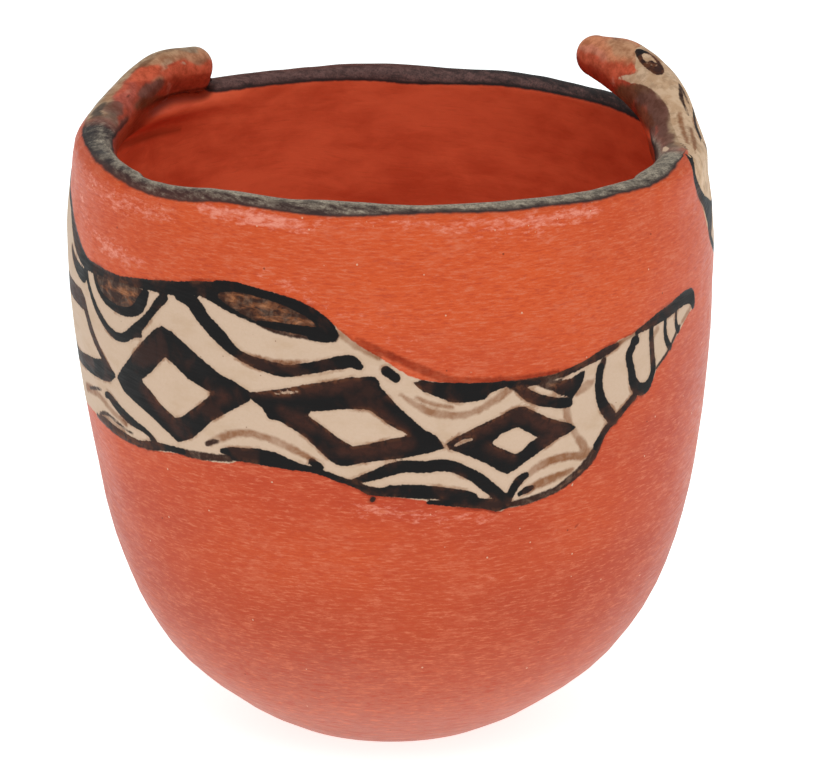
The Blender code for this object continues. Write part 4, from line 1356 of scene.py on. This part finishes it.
def sums(tree, operation, first, second=0.0, third=0.0):
    """Arithmetic on values: MULTIPLY_ADD is the first times the second, plus the third."""
    return put(tree, "ShaderNodeMath", {0: first, 1: second, 2: third}, operation=operation).outputs[0]


def blended(tree, share, first, second, way="MIX"):
    """The second colour laid over the first."""
    first, second = ((*c, 1.0) if isinstance(c, tuple) and len(c) == 3 else c for c in (first, second))
    made = put(tree, "ShaderNodeMix", {0: share, 6: first, 7: second}, data_type="RGBA", blend_type=way)
    return made.outputs[2]


def ramped(tree, value, low, high, start=0.0, end=1.0):
    """A smooth rise from start to end as the value goes from low to high."""
    feeds = {0: value, 1: low, 2: high, 3: start, 4: end}
    return put(tree, "ShaderNodeMapRange", feeds, interpolation_type="SMOOTHSTEP").outputs[0]


def grain(tree, where, scale, detail=3.0, rough=0.55, twist=0.0):
    """Cloudy noise from 0 to 1. A scale of 100 makes patches of about a centimetre."""
    feeds = {"Vector": where, "Scale": scale, "Detail": detail, "Roughness": rough, "Distortion": twist}
    return put(tree, "ShaderNodeTexNoise", feeds).outputs[0]


def stretched(tree, where, amounts, turn=(0.0, 0.0, 0.0)):
    """The places moved apart along each axis, so that what is laid there gets shorter along it."""
    return put(tree, "ShaderNodeMapping", {"Vector": where, "Scale": amounts, "Rotation": turn}).outputs[0]


def start_group(name, inputs, outputs):
    """A node group with its sockets made. Returns the tree, what comes in and what goes out."""
    tree = bpy.data.node_groups.new(name, "ShaderNodeTree")
    for label, kind, value in inputs:
        tree.interface.new_socket(label, in_out="INPUT", socket_type=kind).default_value = value
    for label, kind in outputs:
        tree.interface.new_socket(label, in_out="OUTPUT", socket_type=kind)
    return tree, tree.nodes.new("NodeGroupInput").outputs, tree.nodes.new("NodeGroupOutput").inputs


NUMBER = "NodeSocketFloat"

# The edge of a brush mark: mm inside the paint turned into a mask that wavers like a dry brush's edge
brush_edge, given, result = start_group(
    "brush edge",
    (
        ("Inside", NUMBER, 0.0),
        ("Waver", NUMBER, 0.3),
        ("Softness", NUMBER, 0.3),
        ("Fineness", NUMBER, 900.0),
    ),
    (("Mask", NUMBER),),
)
where = put(brush_edge, "ShaderNodeTexCoord").outputs["Object"]
wavering = sums(brush_edge, "SUBTRACT", grain(brush_edge, where, given["Fineness"], 3.0, 0.6), 0.5)
wavering = sums(brush_edge, "MULTIPLY", wavering, sums(brush_edge, "MULTIPLY", given["Waver"], 2.0))
inside = sums(brush_edge, "ADD", given["Inside"], wavering)
half = sums(brush_edge, "MULTIPLY", given["Softness"], 0.5)
below = sums(brush_edge, "MULTIPLY", half, -1.0)
brush_edge.links.new(ramped(brush_edge, inside, below, half), result["Mask"])

# The marks of the polishing stone: short faint streaks that run round the jar, a little up or down hill
polish, given, result = start_group(
    "polish streaks",
    (("Length", NUMBER, 200.0), ("Fineness", NUMBER, 2000.0), ("Slope", NUMBER, 0.05)),
    (("Streaks", NUMBER),),
)
where = put(polish, "ShaderNodeTexCoord").outputs["Object"]
parts = put(polish, "ShaderNodeSeparateXYZ", {0: where}).outputs
swing = sums(polish, "SUBTRACT", grain(polish, where, 18.0, 1.0), 0.5)
slope = sums(polish, "MULTIPLY_ADD", swing, 0.16, given["Slope"])
hill = sums(polish, "MULTIPLY", sums(polish, "SUBTRACT", parts[0], parts[1]), slope)
high = sums(polish, "MULTIPLY", sums(polish, "ADD", parts[2], hill), given["Fineness"])
across = sums(polish, "MULTIPLY", parts[0], given["Length"])
deep = sums(polish, "MULTIPLY", parts[1], given["Length"])
where = put(polish, "ShaderNodeCombineXYZ", {0: across, 1: deep, 2: high}).outputs[0]
polish.links.new(grain(polish, where, 1.0, 4.0, 0.6), result["Streaks"])

# Small grains scattered over a surface
specks, given, result = start_group(
    "specks",
    (("Closeness", NUMBER, 400.0), ("Size", NUMBER, 0.25), ("Few", NUMBER, 0.7)),
    (("Mask", NUMBER),),
)
where = put(specks, "ShaderNodeTexCoord").outputs["Object"]
cells = put(specks, "ShaderNodeTexVoronoi", {"Vector": where, "Scale": given["Closeness"]})
chance = put(specks, "ShaderNodeSeparateColor", {0: cells.outputs["Color"]}).outputs[0]
chosen = sums(specks, "GREATER_THAN", chance, given["Few"])
size = sums(specks, "MULTIPLY", given["Size"], chance)
close = ramped(specks, cells.outputs["Distance"], size, sums(specks, "MULTIPLY", size, 0.5))
specks.links.new(sums(specks, "MULTIPLY", close, chosen), result["Mask"])

RED = (0.52, 0.07, 0.024)
RED_WARM = (0.57, 0.085, 0.024)
RED_TOP_LIT = (0.67, 0.1, 0.022)
RED_LOW_SHADED = (0.395, 0.06, 0.025)
RED_NEAR_FOOT = (0.43, 0.21, 0.16)
RED_DEEP = (0.44, 0.052, 0.02)
RED_PALE = (0.62, 0.16, 0.08)
RUBBED_AND_LIT = (0.76, 0.27, 0.19)
INNER_RED_LIT = (0.68, 0.086, 0.032)
INNER_WARM_LIT = (0.94, 0.16, 0.065)
INNER_SHADE = (0.75, 0.65, 0.62)
CREAM = (0.595, 0.43, 0.315)
CREAM_TAN = (0.52, 0.355, 0.235)
HEAD_CREAM = (0.68, 0.48, 0.315)
HEAD_TAN = (0.56, 0.36, 0.215)
HEAD_STAIN = (0.33, 0.2, 0.115)
MOTTLE_DARK = (0.7, 0.62, 0.56)
MOTTLE_LIGHT = (1.1, 1.14, 1.16)
BUFF = (0.72, 0.52, 0.36)
BLACK = (0.008, 0.007, 0.007)
BROWN_BLACK = (0.05, 0.017, 0.011)
UMBER_PAINT = (0.036, 0.014, 0.009)
WARM_UMBER = (0.15, 0.05, 0.02)
TAWNY = (0.36, 0.14, 0.055)
WASH = (0.42, 0.24, 0.14)
SHADE_BROWN = (0.3, 0.22, 0.2)
LIP_BLACK = (0.028, 0.023, 0.023)
LIP_BROWN = (0.21, 0.05, 0.03)
LIP_CHALK = (0.48, 0.415, 0.315)
LIP_SHEEN_MAUVE = (0.19, 0.105, 0.094)
CLAY_GLOSS = 0.09
BUMP_DEPTH = 0.0009

clay = bpy.data.materials.new("slipped clay")
clay.use_nodes = True
tree = clay.node_tree
shader = tree.nodes["Principled BSDF"]
where = put(tree, "ShaderNodeTexCoord").outputs["Object"]


def paint(name):
    """One of the paint layers that the mesh carries."""
    return put(tree, "ShaderNodeAttribute", attribute_name=name).outputs["Fac"]


def effect(group, **feeds):
    """One of the node groups above, placed in the clay's material with its own values."""
    return put(tree, "ShaderNodeGroup", feeds, node_tree=group).outputs[0]


def edge(inside, waver, softness, fineness=900.0):
    """The mask of a paint layer, with the edge that a brush leaves."""
    return effect(brush_edge, Inside=inside, Waver=waver, Softness=softness, Fineness=fineness)


def both(first, second):
    return sums(tree, "MULTIPLY", first, second)


# Red slip: warmer and deeper clouds, painted light and shade by height, fine streaks, rubbed places, specks
# of grit
parts = put(tree, "ShaderNodeSeparateXYZ", {0: where}).outputs
streaks = effect(polish, Length=170.0, Fineness=1900.0, Slope=0.06)
fine_streaks = effect(polish, Length=420.0, Fineness=4600.0, Slope=-0.03)
clouds = grain(tree, stretched(tree, where, (1.0, 1.0, 1.8)), 20.0, 3.0, 0.5)
spots_of_slip = grain(tree, stretched(tree, where, (1.0, 1.0, 2.5)), 90.0, 4.0, 0.6, 0.3)
red = blended(tree, ramped(tree, clouds, 0.3, 0.7), RED_DEEP, RED_WARM)
red = blended(tree, ramped(tree, spots_of_slip, 0.3, 0.7, 0.0, 0.5), red, RED)
# Painted light and shade: the red is lighter towards the top and darker lower down. It also turns paler
# near the foot.
height_for_light = sums(tree, "MULTIPLY_ADD", clouds, 0.02, parts[2])
red = blended(tree, ramped(tree, height_for_light, 0.095, 0.13, 0.0, 0.5), red, RED_TOP_LIT)
red = blended(tree, ramped(tree, height_for_light, 0.085, 0.045, 0.0, 0.75), red, RED_LOW_SHADED)
red = blended(tree, ramped(tree, height_for_light, 0.055, 0.012, 0.0, 0.5), red, RED_NEAR_FOOT)
red = blended(tree, ramped(tree, streaks, 0.42, 0.2, 0.0, 0.3), red, RED_DEEP)
pale_streaks = both(ramped(tree, streaks, 0.5, 0.8, 0.0, 0.35), ramped(tree, spots_of_slip, 0.35, 0.65))
red = blended(tree, pale_streaks, red, RED_PALE)
red = blended(tree, ramped(tree, fine_streaks, 0.52, 0.8, 0.0, 0.25), red, RED_PALE)
scuffed_and_lit = paint("scuffs_and_highlights")
fine_wear = grain(tree, stretched(tree, where, (1.0, 1.0, 2.4)), 420.0, 3.0, 0.7)
hairs = grain(tree, stretched(tree, where, (1.0, 1.0, 6.0), (0.1, 0.0, 0.0)), 330.0, 4.0, 0.75)
red = blended(tree, ramped(tree, hairs, 0.5, 0.68, 0.0, 0.75), red, RED_PALE)
red = blended(tree, ramped(tree, hairs, 0.5, 0.34, 0.0, 0.65), red, RED_DEEP)
misty = sums(tree, "MULTIPLY_ADD", spots_of_slip, 0.5, both(fine_wear, 0.6))
red = blended(tree, ramped(tree, misty, 0.54, 0.72, 0.0, 0.35), red, RED_PALE)
# Rubbed pale places, and painted highlights below the front of the lip
rubbed_and_lit = sums(tree, "MULTIPLY_ADD", scuffed_and_lit, 0.62, fine_wear)
rubbed_and_lit = both(ramped(tree, rubbed_and_lit, 0.62, 1.0), ramped(tree, hairs, 0.3, 0.55, 0.6, 1.0))
red = blended(tree, rubbed_and_lit, red, RUBBED_AND_LIT)
white_specks = effect(specks, Closeness=420.0, Size=0.13, Few=0.93)
red = blended(tree, both(white_specks, 0.6), red, BUFF)
close_specks = both(effect(specks, Closeness=800.0, Size=0.2, Few=0.75), ramped(tree, scuffed_and_lit, 0.05, 0.5))
red = blended(tree, both(close_specks, 0.75), red, BUFF)
dark_specks = effect(specks, Closeness=330.0, Size=0.1, Few=0.93)
red = blended(tree, both(dark_specks, 0.6), red, UMBER_PAINT)
# Inside, the slip is wiped on and left matt. Its red is painted lighter than the outside's, as painted
# light, and painted shade makes it darker at the right and farther down.
inner_clouds = sums(tree, "MULTIPLY_ADD", spots_of_slip, 0.4, both(clouds, 0.6))
inner_red = blended(tree, ramped(tree, inner_clouds, 0.36, 0.64), INNER_RED_LIT, INNER_WARM_LIT)
inner_red = blended(tree, ramped(tree, streaks, 0.45, 0.2, 0.0, 0.25), inner_red, RED_DEEP)
shade_at_right = ramped(tree, parts[0], 0.005, 0.05, 0.0, 0.6)
inner_red = blended(tree, shade_at_right, inner_red, INNER_SHADE, "MULTIPLY")
shade_farther_down = ramped(tree, parts[2], 0.118, 0.095, 0.0, 0.6)
inner_red = blended(tree, shade_farther_down, inner_red, INNER_SHADE, "MULTIPLY")
red = blended(tree, paint("inner_side"), red, inner_red)

# The lip's black, with chalky smears that run slantwise over it, which at the back are a mauve painted
# sheen
smear_place = put(tree, "ShaderNodeAttribute", attribute_name="smear_places").outputs["Vector"]
smears = grain(tree, stretched(tree, smear_place, (0.2, 0.44, 1.0)), 1.0, 5.0, 0.72)
worn_and_sheened_lip = sums(tree, "MULTIPLY_ADD", paint("lip_chalk_and_sheen"), 0.55, both(smears, 1.4))
worn_and_sheened_lip = ramped(tree, worn_and_sheened_lip, 0.66, 1.2)
fine_chalk = both(
    ramped(tree, grain(tree, where, 2300.0, 3.0, 0.7), 0.32, 0.6, 0.45, 1.0),
    ramped(tree, grain(tree, where, 800.0, 3.0, 0.6), 0.32, 0.6, 0.55, 1.0),
)
away_from_edge = ramped(tree, paint("lip_paint"), 0.2, 1.1)
browned = both(paint("lip_browning"), ramped(tree, smears, 0.3, 0.6, 0.5, 1.0))
lip_black = blended(tree, browned, LIP_BLACK, LIP_BROWN)
chalk_and_sheen_colour = blended(tree, ramped(tree, parts[1], -0.01, 0.04), LIP_CHALK, LIP_SHEEN_MAUVE)
lip_colour = blended(tree, both(both(worn_and_sheened_lip, fine_chalk), away_from_edge), lip_black, chalk_and_sheen_colour)
lip_mask = edge(paint("lip_paint"), 0.45, 0.6, 240.0)
colour = blended(tree, lip_mask, red, lip_colour)

head_paint = put(tree, "ShaderNodeAttribute", attribute_name="head_colour").outputs["Color"]
worn_spots = ramped(tree, grain(tree, where, 380.0, 4.0, 0.7), 0.34, 0.66)
# Painted shade in the creases inside the rim and under the ledge
crease_shading = both(ramped(tree, paint("crease_shade"), 0.1, 0.75), ramped(tree, spots_of_slip, 0.2, 0.6, 0.75, 1.0))
mottled = blended(tree, worn_spots, MOTTLE_DARK, MOTTLE_LIGHT)
head_paint = blended(tree, 1.0, head_paint, mottled, "MULTIPLY")
colour = blended(tree, paint("head_cover"), colour, head_paint)
colour = blended(tree, crease_shading, colour, SHADE_BROWN, "MULTIPLY")

# Cream slip, drawn thin here and there so that it looks tan
tanned = ramped(tree, grain(tree, stretched(tree, where, (1.0, 1.0, 2.0)), 110.0, 4.0, 0.6), 0.45, 0.75)
cream_colour = blended(tree, both(tanned, 0.7), CREAM, CREAM_TAN)
cream_grain = ramped(tree, grain(tree, where, 1500.0, 3.0, 0.7), 0.3, 0.7, 0.0, 0.25)
cream_colour = blended(tree, cream_grain, cream_colour, CREAM_TAN)
flecks = effect(specks, Closeness=600.0, Size=0.13, Few=0.93)
cream_colour = blended(tree, both(flecks, 0.6), cream_colour, WARM_UMBER)
handling = ramped(tree, grain(tree, where, 300.0, 4.0, 0.65, 0.3), 0.4, 0.62)
head_cream = blended(tree, handling, HEAD_CREAM, HEAD_TAN)
head_cream = blended(tree, both(ramped(tree, worn_spots, 0.5, 0.0), 0.45), head_cream, HEAD_STAIN)
cream_colour = blended(tree, paint("handled"), cream_colour, head_cream)
cream_mask = edge(paint("cream_slip"), 0.3, 0.35, 1000.0)
colour = blended(tree, cream_mask, colour, cream_colour)

# Thin brown washes stain what lies under them, thick ones hide it and gather dark at their edges
load = grain(tree, where, 95.0, 4.0, 0.55, 0.3)
fine_load = grain(tree, where, 520.0, 3.0, 0.65, 0.4)
wash_mask = both(edge(paint("wash_paint"), 0.5, 0.9, 700.0), ramped(tree, load, 0.3, 0.65, 0.45, 1.0))
wash_mask = both(wash_mask, ramped(tree, fine_load, 0.3, 0.6, 0.75, 1.0))
colour = blended(tree, wash_mask, colour, WASH, "MULTIPLY")
pooled = ramped(tree, sums(tree, "MULTIPLY_ADD", fine_load, 2.2, paint("brown_paint")), 1.5, 3.2)
dragged = grain(tree, stretched(tree, where, (1.0, 1.0, 2.6), (0.0, 0.5, 0.0)), 230.0, 4.0, 0.65, 0.6)
brown_colour = blended(tree, both(pooled, ramped(tree, dragged, 0.4, 0.6)), UMBER_PAINT, WARM_UMBER)
thin_drags = both(pooled, ramped(tree, dragged, 0.55, 0.72, 0.0, 0.9))
brown_colour = blended(tree, thin_drags, brown_colour, TAWNY)
brown_mask = edge(paint("brown_paint"), 0.35, 0.5)
brown_mask = both(brown_mask, ramped(tree, fine_load, 0.8, 0.4, 0.85, 1.0))
colour = blended(tree, brown_mask, colour, brown_colour)

# Black, thinned to brown in places and with a thin brown rim where the brush was wet
thin_place = ramped(tree, load, 0.5, 0.62)
rim = edge(sums(tree, "ADD", paint("black_paint"), 0.45), 0.6, 0.7, 700.0)
rim = both(rim, sums(tree, "MULTIPLY_ADD", thin_place, 0.6, 0.15))
colour = blended(tree, rim, colour, WASH, "MULTIPLY")
thin = both(edge(paint("thinned_paint"), 0.8, 3.0, 300.0), ramped(tree, fine_load, 0.35, 0.6, 0.6, 1.0))
thin = sums(tree, "MAXIMUM", thin, both(thin_place, 0.5))
ink = blended(tree, thin, BLACK, BROWN_BLACK)
edge_of_ink = ramped(tree, paint("black_paint"), 1.1, 0.1)
edge_of_ink = both(edge_of_ink, both(thin, ramped(tree, fine_load, 0.4, 0.6)))
ink = blended(tree, both(edge_of_ink, 0.7), ink, WARM_UMBER)
black_mask = edge(paint("black_paint"), 0.3, 0.25, 1100.0)
colour = blended(tree, black_mask, colour, ink)
chip_mask = edge(paint("chips"), 0.3, 0.3)
colour = blended(tree, chip_mask, colour, BUFF)
tree.links.new(colour, shader.inputs["Base Color"])

painted = sums(tree, "MAXIMUM", cream_mask, lip_mask)
shine = ramped(tree, streaks, 0.3, 0.7, 0.32, 0.46)
rough = sums(tree, "MULTIPLY_ADD", painted, 0.16, shine)
rough = sums(tree, "MULTIPLY_ADD", scuffed_and_lit, 0.08, rough)
tree.links.new(rough, shader.inputs["Roughness"])
shader.inputs["Specular IOR Level"].default_value = CLAY_GLOSS
# Relief: each detail and its depth, as a share of the bump's
height = both(grain(tree, where, 60.0, 2.0, 0.5), 0.5)
for detail, depth in (
    (streaks, 0.1),
    (fine_streaks, 0.04),
    (grain(tree, where, 1500.0, 3.0), 0.04),
    (chip_mask, -0.3),
):
    height = sums(tree, "MULTIPLY_ADD", detail, depth, height)
bumped = put(tree, "ShaderNodeBump", {"Strength": 0.5, "Distance": BUMP_DEPTH, "Height": height})
tree.links.new(bumped.outputs[0], shader.inputs["Normal"])

body.data.materials.clear()
body.data.materials.append(clay)
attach(body, "root")
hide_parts("jar")


# The jar stands on a pale sheet of paper that light comes through from below, under a broad soft lamp
# overhead and a small one at the right, with white all round it.

FLOOR_HALF = 4.0
PAPER = (0.9, 0.9, 0.9)
PAPER_FIBRES = (0.93, 0.93, 0.93)
PAPER_ROUGHNESS = 0.9
PAPER_GLOSS = 0.2
GLOW = (0.92, 1.0, 1.0, 1.0)
GLOW_STRENGTH = 0.74
ROOM = (1.0, 1.0, 1.0, 1.0)
ROOM_STRENGTH = 0.58
floor_mesh = bpy.data.meshes.new("paper_floor")
corners = [(x * FLOOR_HALF, y * FLOOR_HALF, 0) for x, y in ((-1, -1), (1, -1), (1, 1), (-1, 1))]
floor_mesh.from_pydata(corners, [], [(0, 1, 2, 3)])
floor = bpy.data.objects.new("paper_floor", floor_mesh)
bpy.context.scene.collection.objects.link(floor)
paper = bpy.data.materials.new("pale paper")
paper.use_nodes = True
tree = paper.node_tree
where = put(tree, "ShaderNodeTexCoord").outputs["Object"]
fibres = ramped(tree, grain(tree, where, 500.0, 3.0), 0.3, 0.7)
pale = blended(tree, fibres, PAPER, PAPER_FIBRES)
paper_shader = tree.nodes["Principled BSDF"]
tree.links.new(pale, paper_shader.inputs["Base Color"])
paper_shader.inputs["Roughness"].default_value = PAPER_ROUGHNESS
paper_shader.inputs["Specular IOR Level"].default_value = PAPER_GLOSS
paper_shader.inputs["Emission Color"].default_value = GLOW
paper_shader.inputs["Emission Strength"].default_value = GLOW_STRENGTH
floor_mesh.materials.append(paper)

surround = bpy.data.worlds.new("white room")
surround.use_nodes = True
surround.node_tree.nodes["Background"].inputs["Color"].default_value = ROOM
surround.node_tree.nodes["Background"].inputs["Strength"].default_value = ROOM_STRENGTH
bpy.context.scene.world = surround


def lamp(name, place, aim, size, power):
    """A round soft light. Sizes are in metres, the power in watts."""
    light = bpy.data.lights.new(name, "AREA")
    light.shape = "DISK"
    light.size = size
    light.energy = power
    thing = bpy.data.objects.new(name, light)
    thing.location = place
    thing.rotation_euler = (Vector(aim) - Vector(place)).to_track_quat("-Z", "Y").to_euler()
    bpy.context.scene.collection.objects.link(thing)
    return thing


lamp("big_softbox", place=(-0.05, -0.75, 1.25), aim=(0, 0, 0.09), size=0.9, power=4.6)
lamp("right_softbox", place=(1.1, -0.2, 0.7), aim=(0, 0, 0.08), size=0.7, power=0.6)

IMAGE_WIDTH, IMAGE_HEIGHT = 822, 768
LENS_IN_PIXELS = 4247.0
CENTRE_X, CENTRE_Y = 391.0, 420.7
ELEVATION = math.radians(16.57)
DISTANCE = 1.0
AIM = Vector((0, 0, 0.07))
view = bpy.data.cameras.new("camera")
view.sensor_width = 36.0
view.lens = view.sensor_width * LENS_IN_PIXELS / IMAGE_WIDTH
view.shift_x = (IMAGE_WIDTH / 2 - CENTRE_X) / IMAGE_WIDTH
view.shift_y = (CENTRE_Y - IMAGE_HEIGHT / 2) / IMAGE_WIDTH
view.clip_start, view.clip_end = 0.01, 20.0
camera = bpy.data.objects.new("camera", view)
backwards = Vector((0, -math.cos(ELEVATION), math.sin(ELEVATION)))
camera.location = AIM + backwards * DISTANCE
camera.rotation_mode = "QUATERNION"
camera.rotation_quaternion = (-backwards).to_track_quat("-Z", "Y")
bpy.context.scene.collection.objects.link(camera)
bpy.context.scene.camera = camera
bpy.context.scene.view_settings.view_transform = "Standard"
